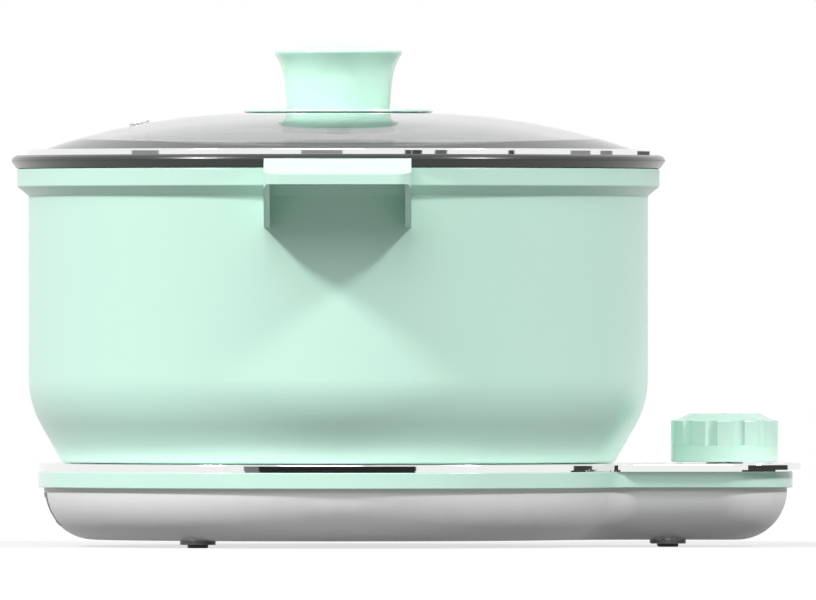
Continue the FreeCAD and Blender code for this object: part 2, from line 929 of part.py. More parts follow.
def indicator_lamp():
    piece = Piece("indicator_lamp", pot_x)
    high = plate_top - 2 * s.plate_sheet - s.join_gap
    piece.raise_up(high - s.lamp_length, s.lamp_length, [], [(s.lens_x, -s.lens_y, s.lens_radius)])
    return piece


def tray_side(height):
    """Radius of the tray's outside at a height, on its round end."""
    centre_r = s.band_radius - s.tray_inset - s.tray_round
    below = tray_z + s.tray_round - height
    return centre_r + root(s.tray_round * s.tray_round - below * below)


def inlet_socket():
    """Inlet bay flush with the tray's rounded side, its mouth facing -X."""
    piece = Piece("inlet_socket", pot_x)
    piece.turn(mirrored([
        Point(s.inlet_back, s.inlet_low),
        Point(tray_side(s.inlet_low), s.inlet_low, s.tray_round),
        Point(tray_side(s.inlet_high), s.inlet_high),
        Point(s.inlet_back, s.inlet_high),
    ]), sweep=s.inlet_sweep)
    half = s.inlet_mouth_half
    sketch = piece.outlined("YZ_Plane", -s.inlet_mouth_back, [
        rounded_rectangle(-half, s.inlet_low + s.inlet_wall, half, s.inlet_high - s.inlet_wall, as_size(3))
    ])
    mouth = piece.feature("Pocket", sketch)
    link(mouth, "Length", s.tray_round * 2)
    doc.recompute()
    return piece


def inlet_level():
    return (s.inlet_low + s.inlet_high) / 2


def inlet_pins():
    """Two round pins that stand in the inlet's bay."""
    piece = Piece("inlet_pins", pot_x)
    apart = s.inlet_pin_apart / 2
    level = inlet_level()
    sketch = piece.outlined("YZ_Plane", -(s.inlet_mouth_back + s.inlet_pin_length), [], [
        (-apart, level, s.inlet_pin_radius), (apart, level, s.inlet_pin_radius)
    ])
    pins = piece.feature("Pad", sketch)
    link(pins, "Length", s.inlet_pin_length - s.join_gap)
    doc.recompute()
    return piece


def terminal_block():
    piece = Piece("terminal_block", pot_x)
    foot = tray_z + s.tray_floor
    left = -(s.inlet_back - 3)
    piece.raise_up(foot, as_size(9), [rectangle(left, as_size(-15), left + 10, as_size(15))])
    wells = [(left + 5, as_size(13 * side - 5 * side), as_size(2.2)) for side in (-1, 1)]
    piece.cut_up(foot + 4, as_size(9), [], wells)
    return piece


def thermal_fuse():
    piece = Piece("thermal_fuse", pot_x)
    radius = as_size(2.4)
    sketch = piece.outlined("YZ_Plane", s.sleeve_flange_radius + 8, [], [
        (0, heat_z - radius - s.join_gap, radius)
    ])
    fuse = piece.feature("Pad", sketch)
    link(fuse, "Length", as_size(16))
    doc.recompute()
    return piece


def foot_seat(number, across, up):
    piece = Piece("foot_seat_%d" % number, pot_x)
    piece.raise_up(s.pad_height, s.seat_height, [], [(across, up, s.seat_radius)])
    return piece


def foot_pad(number, across, up):
    piece = Piece("foot_pad_%d" % number, pot_x)
    piece.raise_up(as_size(0), s.pad_height, [], [(across, up, s.pad_radius)])
    piece.round_edges(as_size(0.4), flat_at(0))
    return piece


class Wall:
    """The pot's side, offset inwards: an upright wall, a bend and a tapered foot."""

    def __init__(self, inset):
        centre_r = s.wall_radius - s.bend_radius
        self.bend_z = jacket_z + s.bend_rise
        self.bend = s.bend_radius - inset
        self.upright_r = s.wall_radius - inset
        self.taper_r = centre_r + self.bend * cosine(s.bend_turn)
        self.taper_z = self.bend_z - self.bend * sine(s.bend_turn)

    def foot_r(self, height):
        slope = sine(s.bend_turn) / cosine(s.bend_turn)
        return self.taper_r - (self.taper_z - height) * slope

    def upwards(self, height):
        """Corners from a foot height to the top of the bend."""
        return [
            Point(self.foot_r(height), height),
            Point(self.taper_r, self.taper_z, self.bend),
            Point(self.upright_r, self.bend_z),
        ]

    def downwards(self, height):
        return [
            Point(self.upright_r, self.bend_z, self.bend, left=False),
            Point(self.taper_r, self.taper_z),
            Point(self.foot_r(height), height),
        ]


def collar_shift(inset):
    """How far the collar's slope moves up on a surface that lies further in."""
    wide = s.collar_radius - s.wall_radius
    slant = root(wide * wide + s.collar_slope * s.collar_slope)
    return inset * (slant - s.collar_slope) / wide


def pot_shell():
    """Mint jacket: turned-in foot, tapered and bent side, collar and top flange."""
    piece = Piece("pot_shell", pot_x)
    sheet_t = s.jacket_sheet
    outer = Wall(0)
    inner = Wall(sheet_t)
    collar_z = jacket_top - s.collar_height
    slope_z = collar_z - s.collar_slope
    shift = collar_shift(sheet_t)
    lip_r = s.wall_radius - sheet_t - s.air_gap + s.side_gap
    piece.turn(
        [Point(s.jacket_mouth, jacket_z)]
        + outer.upwards(jacket_z)
        + [
            Point(s.wall_radius, slope_z),
            Point(s.collar_radius, collar_z),
            Point(s.collar_radius, jacket_top),
            Point(lip_r, jacket_top),
            Point(lip_r, jacket_top - sheet_t),
            Point(s.collar_radius - sheet_t, jacket_top - sheet_t),
            Point(s.collar_radius - sheet_t, collar_z + shift),
            Point(s.wall_radius - sheet_t, slope_z + shift),
        ]
        + inner.downwards(jacket_z + sheet_t)
        + [Point(s.jacket_mouth, jacket_z + sheet_t)]
    )
    piece.round_edges(s.jacket_foot_round, ring_at(outer.foot_r(jacket_z), jacket_z))
    return piece


def inner_pan():
    """Cast pan with a solid rim bead and the ledge that takes the lid's band."""
    piece = Piece("inner_pan", pot_x)
    inset = s.jacket_sheet + s.air_gap
    outer = Wall(inset)
    inner = Wall(inset + s.pan_thick)
    floor = pan_z + s.pan_floor
    bend = s.rim_round
    piece.turn(
        [Point(0, pan_z)]
        + outer.upwards(pan_z)
        + [
            Point(outer.upright_r, rim_z),
            Point(s.rim_root_radius, rim_z),
            Point(s.rim_radius, rim_top - bend, bend),
            Point(s.rim_radius - bend, rim_top),
            Point(step_radius + bend / 2, rim_top, bend / 2),
            Point(step_radius, rim_top - bend / 2),
            Point(step_radius, ledge_z),
            Point(inner.upright_r + bend, ledge_z, bend),
            Point(inner.upright_r, ledge_z - bend),
        ]
        + inner.downwards(floor)
        + [Point(0, floor)]
    )
    piece.round_edges(s.pan_inner_round, ring_at(inner.foot_r(floor), floor))
    return piece


def pan_sole():
    """Contact disc under the pan, dished in the middle for the probe."""
    piece = Piece("pan_sole", pot_x)
    roof = probe_top + s.rest_gap
    piece.turn([
        Point(s.probe_radius + s.probe_flange, sole_z),
        Point(s.sole_radius - 1, sole_z),
        Point(s.sole_radius, sole_z + 1),
        Point(s.sole_radius, pan_z),
        Point(0, pan_z),
        Point(0, roof),
        Point(s.probe_radius + s.probe_flange, roof),
    ])
    return piece


def handle_screw_level():
    """Middle of the upright stretch inside the jacket's collar."""
    return jacket_top - (s.collar_height + s.jacket_sheet - collar_shift(s.jacket_sheet)) / 2


def handle(label, turned):
    """Hood handle: sloping top, outer lip, two tapering cheeks and a root plate."""
    piece = Piece(label, pot_x)
    piece.body.Placement.Rotation = FreeCAD.Rotation(FreeCAD.Vector(0, 0, 1), turned)
    gap = s.join_gap
    top = jacket_top + s.handle_top
    crease = top - s.handle_fall
    lip = crease - s.handle_lip
    heel = top - s.handle_cheek
    inside = s.wall_radius - 6
    start = s.rim_radius + 2 * s.side_gap
    fall = s.handle_fall / (s.handle_reach - start)
    lip_r = s.handle_reach - s.handle_wall
    root_r = s.collar_radius + s.handle_root
    under = top - s.handle_wall * root(1 + fall * fall)
    piece.across("Pad", s.handle_half * 2, [[
        Point(inside, heel),
        Point(s.wall_radius + s.handle_cheek_root, heel),
        Point(lip_r, lip),
        Point(s.handle_reach, lip),
        Point(s.handle_reach, crease),
        Point(start, top),
        Point(inside, top),
    ]])
    reach = s.handle_reach.number

    def outer_corner(edge):
        box = edge.BoundBox
        return box.XLength < 1e-4 and box.YLength < 1e-4 and abs(box.YMax - reach) < 1e-3

    piece.round_edges(s.handle_corner_round, outer_corner)
    root_low = jacket_top - s.collar_height
    piece.across("Pocket", (s.handle_half - s.handle_wall) * 2, [[
        Point(inside, heel - 1),
        Point(lip_r, heel - 1),
        Point(lip_r, under - fall * (lip_r - start)),
        Point(root_r, under - fall * (root_r - start)),
        Point(root_r, root_low),
        Point(inside, root_low),
    ]])
    collar_z = jacket_top - s.collar_height
    piece.turn([
        Point(inside - 30, heel - 2),
        Point(s.wall_radius + gap, heel - 2),
        Point(s.wall_radius + gap, collar_z - s.collar_slope),
        Point(s.collar_radius + gap, collar_z),
        Point(s.collar_radius + gap, jacket_top - gap),
        Point(start, jacket_top - gap),
        Point(start, top + 2),
        Point(inside - 30, top + 2),
    ], "Groove")
    apart = s.handle_screw_apart / 2
    sketch = piece.outlined("XZ_Plane", -(s.wall_radius), [], [
        (apart, handle_screw_level(), s.screw_radius + s.join_gap),
        (-apart, handle_screw_level(), s.screw_radius + s.join_gap),
    ])
    holes = piece.feature("Pocket", sketch)
    holes.Reversed = False
    link(holes, "Length", s.collar_radius + s.handle_root - s.wall_radius)
    doc.recompute()
    return piece


def disc_foot():
    return dome_top + s.disc_thick


def knob_flange():
    """Thin disc under the knob, its edge turned up a little."""
    piece = Piece("knob_flange", pot_x)
    lip = s.disc_lip
    piece.turn([
        Point(s.lid_screw_radius + s.join_gap, dome_top),
        Point(s.disc_radius - lip, dome_top),
        Point(s.disc_radius, dome_top + lip, lip),
        Point(s.disc_radius - lip / 2, knob_z),
        Point(s.disc_radius - lip * 2, disc_foot()),
        Point(s.knob_foot_radius + s.side_gap, disc_foot()),
        Point(s.knob_foot_radius + s.side_gap, knob_z - s.join_gap),
        Point(s.lid_screw_radius + s.join_gap, knob_z - s.join_gap),
    ])
    return piece


def lid_knob():
    """Hollow flared knob with a middle boss for its insert."""
    piece = Piece("lid_knob", pot_x)
    wall = s.knob_wall
    waist_z = knob_z + s.knob_waist_height
    flare_z = knob_z + s.knob_flare_height
    roof = knob_top - s.cap_seat - wall
    boss = s.insert_radius + wall
    rim_mid = (flare_z + knob_top) / 2
    piece.turn([
        Point(0, knob_z + s.rest_gap + s.insert_length),
        Point(s.insert_radius + s.join_gap, knob_z + s.rest_gap + s.insert_length),
        Point(s.insert_radius + s.join_gap, knob_z),
        Point(boss, knob_z),
        Point(boss, roof),
        Point(s.knob_waist_radius - wall, roof),
        Point(s.knob_waist_radius - wall, waist_z),
        Point(s.knob_foot_radius - wall, knob_z),
        Point(s.knob_foot_radius, knob_z),
        Point(s.knob_waist_radius, waist_z, s.knob_flare_bend, left=False),
        Point(s.knob_flare_radius, flare_z),
        Point(s.knob_rim_radius, rim_mid, 1.2),
        Point(s.knob_rim_radius - 1.0, knob_top),
        Point(s.cap_radius + s.join_gap, knob_top),
        Point(s.cap_radius + s.join_gap, knob_top - s.cap_seat),
        Point(0, knob_top - s.cap_seat),
    ])
    return piece


def knob_cap():
    """Domed cap let into the top of the knob."""
    piece = Piece("knob_cap", pot_x)
    crown = (s.cap_radius * s.cap_radius + s.cap_rise * s.cap_rise) / (2 * s.cap_rise)
    piece.turn([
        Point(0, knob_top - s.cap_seat + s.join_gap),
        Point(s.cap_radius, knob_top - s.cap_seat + s.join_gap),
        Point(s.cap_radius, knob_top, crown),
        Point(0, knob_top + s.cap_rise),
    ])
    return piece


def knob_insert():
    """Threaded brass insert in the knob's boss."""
    piece = Piece("knob_insert", pot_x)
    low = knob_z + s.join_gap
    bore = s.lid_screw_radius + s.running_gap
    piece.turn([
        Point(bore, low),
        Point(s.insert_radius, low),
        Point(s.insert_radius, low + s.insert_length),
        Point(bore, low + s.insert_length),
    ])
    return piece


def knob_seat():
    """Boss under the glass that spreads the screw's load."""
    piece = Piece("knob_seat", pot_x)
    high = glass_under
    low = high - s.seat_drop
    hole = s.lid_screw_radius + s.join_gap
    head = s.lid_screw_head_radius + s.side_gap
    piece.turn([
        Point(hole, low + 1),
        Point(head, low + 1),
        Point(head, low),
        Point(s.seat_foot_radius, low),
        Point(s.seat_top_radius, high),
        Point(hole, high),
    ])
    return piece


def lid_screw():
    piece = Piece("lid_screw", pot_x)
    head_z = glass_under - s.seat_drop + 1 - s.join_gap
    piece.turn([
        Point(0, head_z - s.lid_screw_head),
        Point(s.lid_screw_head_radius - 1, head_z - s.lid_screw_head, 1.0),
        Point(s.lid_screw_head_radius, head_z - s.lid_screw_head + 1),
        Point(s.lid_screw_head_radius, head_z),
        Point(s.lid_screw_radius, head_z),
        Point(s.lid_screw_radius, knob_z + s.insert_length),
        Point(0, knob_z + s.insert_length),
    ])
    return piece


def lid_glass():
    """Domed glass: level middle, one tangent arc, and a ground land in the band."""
    piece = Piece("lid_glass", pot_x)
    under_radius = dome_radius - s.glass_thick
    land_z = ring_z + s.ring_sheet + s.rest_gap
    under_fall = glass_under - land_z
    under_run = root(under_fall * (2 * under_radius - under_fall))
    run = glass_radius - s.dome_flat
    edge_z = dome_top - dome_radius + root(dome_radius * dome_radius - run * run)
    hole = s.lid_screw_radius + s.side_gap
    piece.turn([
        Point(hole, glass_under),
        Point(s.dome_flat, glass_under, under_radius, left=False),
        Point(s.dome_flat + under_run, land_z),
        Point(glass_radius, land_z),
        Point(glass_radius, edge_z, dome_radius),
        Point(s.dome_flat, dome_top),
        Point(hole, dome_top),
    ])
    sketch = piece.sketch("XY_Plane", glass_under - s.dome_rise)
    lean = (s.vent_at - s.dome_flat) / dome_radius
    draw_circle(sketch, s.glass_thick / 2 * lean - s.vent_at, 0, s.vent_tube + s.side_gap)
    hole_cut = piece.feature("Pocket", sketch)
    hole_cut.Reversed = True
    link(hole_cut, "Length", 2 * s.dome_rise)
    doc.recompute()
    return piece


def lid_ring():
    """Steel band rolled over the edge of the glass, open inwards."""
    piece = Piece("lid_ring", pot_x)
    sheet_t = s.ring_sheet
    inner = ring_radius - sheet_t
    foot_r = flange_radius + 1
    bend = s.ring_sheet * 1.5
    piece.turn([
        Point(foot_r, ring_z),
        Point(ring_radius - bend, ring_z, bend),
        Point(ring_radius, ring_z + bend),
        Point(ring_radius, ring_top - bend, bend),
        Point(ring_radius - bend, ring_top),
        Point(flange_radius + sheet_t / 2, ring_top, sheet_t / 2),
        Point(flange_radius, ring_top - sheet_t / 2),
        Point(flange_radius, ring_top - sheet_t),
        Point(inner, ring_top - sheet_t),
        Point(inner, ring_z + sheet_t),
        Point(foot_r, ring_z + sheet_t),
    ])
    return piece


def steam_vent():
    """Eyelet clamped through the glass, square to the dome."""
    piece = Piece("steam_vent", pot_x)
    run = s.vent_at - s.dome_flat
    tilt = arc_sine(run / dome_radius)
    fall = dome_radius - root(dome_radius * dome_radius - run * run)
    link(piece.body, "Placement.Base.x", pot_x - s.vent_at)
    link(piece.body, "Placement.Base.z", dome_top - fall)
    piece.body.Placement.Rotation = FreeCAD.Rotation(FreeCAD.Vector(0, -1, 0), tilt.number)
    link(piece.body, "Placement.Rotation.Angle", tilt)
    low = -s.glass_thick
    gap = s.join_gap
    piece.turn([
        Point(s.vent_bore, low - gap - s.vent_flange),
        Point(s.vent_radius - 1, low - gap - s.vent_flange),
        Point(s.vent_radius - 1, low - gap),
        Point(s.vent_tube, low - gap),
        Point(s.vent_tube, gap),
        Point(s.vent_radius, gap),
        Point(s.vent_radius, gap + s.vent_flange / 2, s.vent_flange / 2),
        Point(s.vent_radius - s.vent_flange / 2, gap + s.vent_flange),
        Point(s.vent_bore + s.vent_flange, gap + s.vent_flange),
        Point(s.vent_bore, gap),
    ])
    return piece


def handle_screws():
    """Two screws a side, from inside the jacket into the handle's root plate."""
    piece = Piece("handle_screws", pot_x)
    apart = s.handle_screw_apart / 2
    spots = [(apart, handle_screw_level()), (-apart, handle_screw_level())]
    reach_in = s.collar_radius - s.jacket_sheet
    corner = apart + s.handle_screw_head
    seat = root(reach_in * reach_in - corner * corner)
    head_y = seat - s.screw_head_height - s.rest_gap
    long = s.collar_radius + s.handle_root - head_y - 4 * s.rest_gap
    for side in (1, -1):
        for radius, length in ((s.handle_screw_head, s.screw_head_height), (s.screw_radius, long)):
            sketch = piece.outlined("XZ_Plane", -side * head_y, [], circles_at(spots, radius))
            pad = piece.feature("Pad", sketch)
            pad.Reversed = side == 1
            link(pad, "Length", length)
            doc.recompute()
    return piece


def drill_jacket(piece):
    """Holes through the jacket's collar for the handle screws."""
    apart = s.handle_screw_apart / 2
    for side in (1, -1):
        sketch = piece.outlined("XZ_Plane", -side * (s.wall_radius - s.air_gap), [], [
            (apart, handle_screw_level(), s.screw_radius + s.join_gap),
            (-apart, handle_screw_level(), s.screw_radius + s.join_gap),
        ])
        hole = piece.feature("Pocket", sketch)
        hole.Reversed = side == -1
        link(hole, "Length", s.collar_radius - s.wall_radius + s.air_gap)
        doc.recompute()


def build():
    pieces = [
        base_tray(), base_band(), base_screws(), top_plate(), heating_plate(), heating_element(),
        heat_shield(), heater_posts(), probe_cup(), probe_sleeve(), probe_spring(),
        control_knob(), thermostat_shaft(), thermostat_body(), knob_bush(), bush_nut(),
        indicator_lens(), indicator_lamp(), inlet_socket(), inlet_pins(), terminal_block(), thermal_fuse(),
    ]
    for number, (across, up) in enumerate(foot_places(), start=1):
        pieces.append(foot_seat(number, across, up))
        pieces.append(foot_pad(number, across, up))
    jacket = pot_shell()
    drill_jacket(jacket)
    pieces += [
        jacket, inner_pan(), pan_sole(), handle("handle_front", 180), handle("handle_back", 0),
        handle_screws(), knob_flange(), lid_knob(), knob_cap(), knob_insert(), knob_seat(), lid_screw(),
        lid_glass(), lid_ring(), steam_vent(),
    ]
    return [piece.body if isinstance(piece, Piece) else piece for piece in pieces]


def check(pieces):
    """Stops the build if any object failed or any piece has no sound solid."""
    failed = [thing.Name for thing in doc.Objects if "Invalid" in thing.State or "Error" in thing.State]
    for piece in pieces:
        if piece.Shape.isNull() or not piece.Shape.isValid() or not piece.Shape.Solids:
            failed.append(piece.Label + " has no sound solid")
    if failed:
        raise RuntimeError("failed: " + ", ".join(failed))


pieces = build()
doc.recompute()
check(pieces)
os.makedirs("parts", exist_ok=True)
for piece in pieces:
    piece.Shape.exportStep("parts/%s.step" % piece.Label)
    box = piece.Shape.BoundBox
    print("%-18s %8.1f mm3  z %6.1f to %6.1f" % (piece.Label, piece.Shape.Volume, box.ZMin, box.ZMax))
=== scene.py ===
"""Electric hot pot with a lift-off glass lid, dressed for a plain studio picture."""

import json
import logging
import math
from collections.abc import Iterable, Sequence
from dataclasses import dataclass, field
from enum import Enum

import bmesh
import bpy
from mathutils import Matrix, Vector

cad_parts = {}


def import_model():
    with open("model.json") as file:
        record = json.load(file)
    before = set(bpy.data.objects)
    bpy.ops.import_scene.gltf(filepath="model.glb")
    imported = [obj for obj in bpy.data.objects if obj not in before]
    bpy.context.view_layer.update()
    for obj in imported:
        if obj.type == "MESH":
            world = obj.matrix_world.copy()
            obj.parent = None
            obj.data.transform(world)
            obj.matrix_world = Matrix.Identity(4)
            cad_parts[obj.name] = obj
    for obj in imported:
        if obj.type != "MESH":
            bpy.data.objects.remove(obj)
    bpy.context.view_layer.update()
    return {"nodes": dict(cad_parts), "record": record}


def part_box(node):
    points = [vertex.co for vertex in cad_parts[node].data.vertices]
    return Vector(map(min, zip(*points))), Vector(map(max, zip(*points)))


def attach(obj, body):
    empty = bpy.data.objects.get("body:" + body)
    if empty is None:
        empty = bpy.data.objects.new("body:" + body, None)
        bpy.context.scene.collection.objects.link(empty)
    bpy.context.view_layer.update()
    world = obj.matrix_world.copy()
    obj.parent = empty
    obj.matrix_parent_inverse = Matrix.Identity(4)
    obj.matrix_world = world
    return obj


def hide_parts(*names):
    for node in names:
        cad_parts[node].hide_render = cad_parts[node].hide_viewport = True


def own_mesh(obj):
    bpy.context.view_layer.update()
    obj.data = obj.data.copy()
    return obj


MM = 0.001
SHARP_DEGREES = 32
ARC_STEP_DEGREES = 4
TURNED_STEPS = 360
SMALL_TURNED_STEPS = 240
CROWN_TURNED_STEPS = 200
WHITE = (1.0, 1.0, 1.0, 1.0)
log = logging.getLogger("hot_pot")

Colour = tuple[float, float, float]
Spot = tuple[float, float]
Corner = tuple[float, float, float]
Piece = bpy.types.Object


class Grain(Enum):
    """How a surface was made, which sets its fine relief."""

    MOULDED = "moulded"
    ENAMEL = "enamel"
    POLISHED = "polished"
    TURNED = "turned"
    CAST = "cast"
    COATED = "coated"
    CLEAR = "clear"


class Value:
    """A shader socket that takes part in sums and adds the nodes that they need."""

    def __init__(self, shader: "Shader", socket: bpy.types.NodeSocket) -> None:
        """Keeps the socket and the shader that it belongs to."""
        self.shader = shader
        self.socket = socket

    def sum_up(self, operation: str, first: "Value | float", second: "Value | float") -> "Value":
        """Adds one Math node.

        Args:
            operation: the node's operation.
            first: its first value.
            second: its second value.

        Returns:
            The node's output.
        """
        inputs = {0: first, 1: second}
        return self.shader.out("ShaderNodeMath", {"operation": operation}, inputs)

    def __add__(self, other: "Value | float") -> "Value":
        """Adds."""
        return self.sum_up("ADD", self, other)

    def __radd__(self, other: float) -> "Value":
        """Adds to a number."""
        return self.sum_up("ADD", other, self)

    def __sub__(self, other: "Value | float") -> "Value":
        """Subtracts."""
        return self.sum_up("SUBTRACT", self, other)

    def __rsub__(self, other: float) -> "Value":
        """Subtracts from a number."""
        return self.sum_up("SUBTRACT", other, self)

    def __mul__(self, other: "Value | float") -> "Value":
        """Multiplies."""
        return self.sum_up("MULTIPLY", self, other)

    def __rmul__(self, other: float) -> "Value":
        """Multiplies a number."""
        return self.sum_up("MULTIPLY", other, self)

    def wave(self) -> "Value":
        """The sine of the value."""
        return self.sum_up("SINE", self, 0.0)


class Shader:
    """The nodes of one material or of the world."""

    def __init__(self, tree: bpy.types.NodeTree) -> None:
        """Empties the tree."""
        self.tree = tree
        tree.nodes.clear()

    def node(self, kind: str, settings: dict, inputs: dict) -> bpy.types.Node:
        """Adds one node.

        Args:
            kind: the node's type.
            settings: its attributes, set first.
            inputs: the values or links of its sockets, by name or number.

        Returns:
            The node.
        """
        node = self.tree.nodes.new(kind)
        for name, value in settings.items():
            setattr(node, name, value)
        for name, value in inputs.items():
            if isinstance(value, Value):
                self.tree.links.new(value.socket, node.inputs[name])
            else:
                node.inputs[name].default_value = value
        return node

    def out(self, kind: str, settings: dict, inputs: dict, output: str | int = 0) -> Value:
        """Adds one node and gives one of its outputs."""
        return Value(self, self.node(kind, settings, inputs).outputs[output])

    def place(self) -> Value:
        """The place on the object, in metres."""
        return self.out("ShaderNodeTexCoord", {}, {}, "Object")

    def noise(self, place: Value, scale: float, detail: float = 2.0) -> Value:
        """Soft random relief of a scale, from 0 to 1."""
        inputs = {"Vector": place, "Scale": scale, "Detail": detail}
        return self.out("ShaderNodeTexNoise", {}, inputs)

    def blend(self, share: Value, first: Colour, second: Colour) -> Value:
        """A colour between two, by a share."""
        inputs = {0: share, 6: (*first, 1.0), 7: (*second, 1.0)}
        return self.out("ShaderNodeMix", {"data_type": "RGBA"}, inputs, 2)

    def bump(self, height: Value, depth: float) -> Value:
        """A normal from a height whose full depth is given in millimetres."""
        inputs = {"Height": height, "Distance": depth * MM, "Strength": 1.0}
        return self.out("ShaderNodeBump", {}, inputs)

    def finish(self, kind: str, surface: Value) -> None:
        """Links a shader to the tree's output."""
        self.node(kind, {}, {"Surface": surface})


def new_material(name: str) -> tuple[bpy.types.Material, Shader]:
    """Makes a material with no nodes.

    Args:
        name: its name.

    Returns:
        The material and its nodes.
    """
    material = bpy.data.materials.new(name)
    material.use_nodes = True
    return material, Shader(material.node_tree)


def heights(node: str) -> Spot:
    """Lowest and highest place of a node, in millimetres."""
    low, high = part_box(node)
    return low[2] / MM, high[2] / MM


def middle_x(node: str) -> float:
    """Where a node's middle stands from left to right, in millimetres."""
    low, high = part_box(node)
    return (low[0] + high[0]) / 2 / MM


@dataclass(frozen=True)
class Finish:
    """One finish: its colour, how it shines and how its surface was made."""

    slot: str
    colour: Colour
    rough: float
    grain: Grain
    metal: float = 0.0
    coat: float = 0.0
    shift: float = 0.03
    depth: float = 0.004
    axis_x: float = 0.0

    def relief(self, shader: Shader, place: Value) -> Value:
        """The fine height of the surface, from 0 to 1.

        Args:
            shader: the material's nodes.
            place: the place on the object.

        Returns:
            The height.
        """
        if self.grain is Grain.MOULDED:
            return shader.noise(place, 1400.0, 3.0)
        if self.grain is Grain.ENAMEL:
            return shader.noise(place, 180.0, 1.0)
        if self.grain is Grain.CAST:
            return shader.noise(place, 700.0, 5.0)
        if self.grain is Grain.COATED:
            return shader.noise(place, 2200.0, 2.0)
        if self.grain is Grain.TURNED:
            middle = (-self.axis_x, 0.0, 0.0)
            flat = shader.out("ShaderNodeVectorMath", {"operation": "ADD"}, {0: place, 1: middle})
            level = shader.out(
                "ShaderNodeVectorMath", {"operation": "MULTIPLY"}, {0: flat, 1: (1.0, 1.0, 0.0)}
            )
            reach = shader.out(
                "ShaderNodeVectorMath", {"operation": "LENGTH"}, {0: level}, "Value"
            )
            return (reach * 9000.0).wave() * 0.35 + 0.5
        drawn = shader.out(
            "ShaderNodeVectorMath", {"operation": "MULTIPLY"}, {0: place, 1: (0.15, 0.15, 6.0)}
        )
        return shader.noise(drawn, 600.0, 2.0)

    def material(self) -> bpy.types.Material:
        """Makes the material.

        Returns:
            The material, with its nodes.
        """
        material, shader = new_material(self.slot + "_finish")
        place = shader.place()
        fine = self.relief(shader, place)
        broad = shader.noise(place, 14.0, 2.0)
        paler = tuple(min(1.0, part * (1 + self.shift)) for part in self.colour)
        deeper = tuple(part * (1 - self.shift) for part in self.colour)
        inputs = {
            "Base Color": shader.blend(broad * 0.7 + fine * 0.3, deeper, paler),
            "Roughness": fine * (self.rough * 0.3) + broad * (self.rough * 0.3) + self.rough * 0.7,
            "Metallic": self.metal,
            "Coat Weight": self.coat,
            "Coat Roughness": 0.12,
            "Normal": shader.bump(fine, self.depth),
        }
        surface = shader.out("ShaderNodeBsdfPrincipled", {}, inputs)
        shader.finish("ShaderNodeOutputMaterial", surface)
        return material


@dataclass(frozen=True)
class ClearFinish(Finish):
    """Clear glass or lens plastic, which lets light through to what lies behind it."""

    index: float = 1.5
    passing: float = 0.8

    def material(self) -> bpy.types.Material:
        """Makes the material.

        Returns:
            The material, with its nodes.
        """
        material, shader = new_material(self.slot + "_finish")
        place = shader.place()
        fine = shader.noise(place, 60.0, 1.0)
        paler = tuple(min(1.0, part * (1 + self.shift)) for part in self.colour)
        inputs = {
            "Base Color": shader.blend(fine, self.colour, paler),
            "Roughness": fine * self.rough,
            "IOR": self.index,
            "Transmission Weight": 1.0,
        }
        solid = shader.out("ShaderNodeBsdfPrincipled", {}, inputs)
        shade = shader.out("ShaderNodeLightPath", {}, {}, "Is Shadow Ray")
        open_air = shader.out("ShaderNodeBsdfTransparent", {}, {"Color": (*self.colour, 1.0)})
        inputs = {0: shade * self.passing, 1: solid, 2: open_air}
        surface = shader.out("ShaderNodeMixShader", {}, inputs)
        shader.finish("ShaderNodeOutputMaterial", surface)
        return material


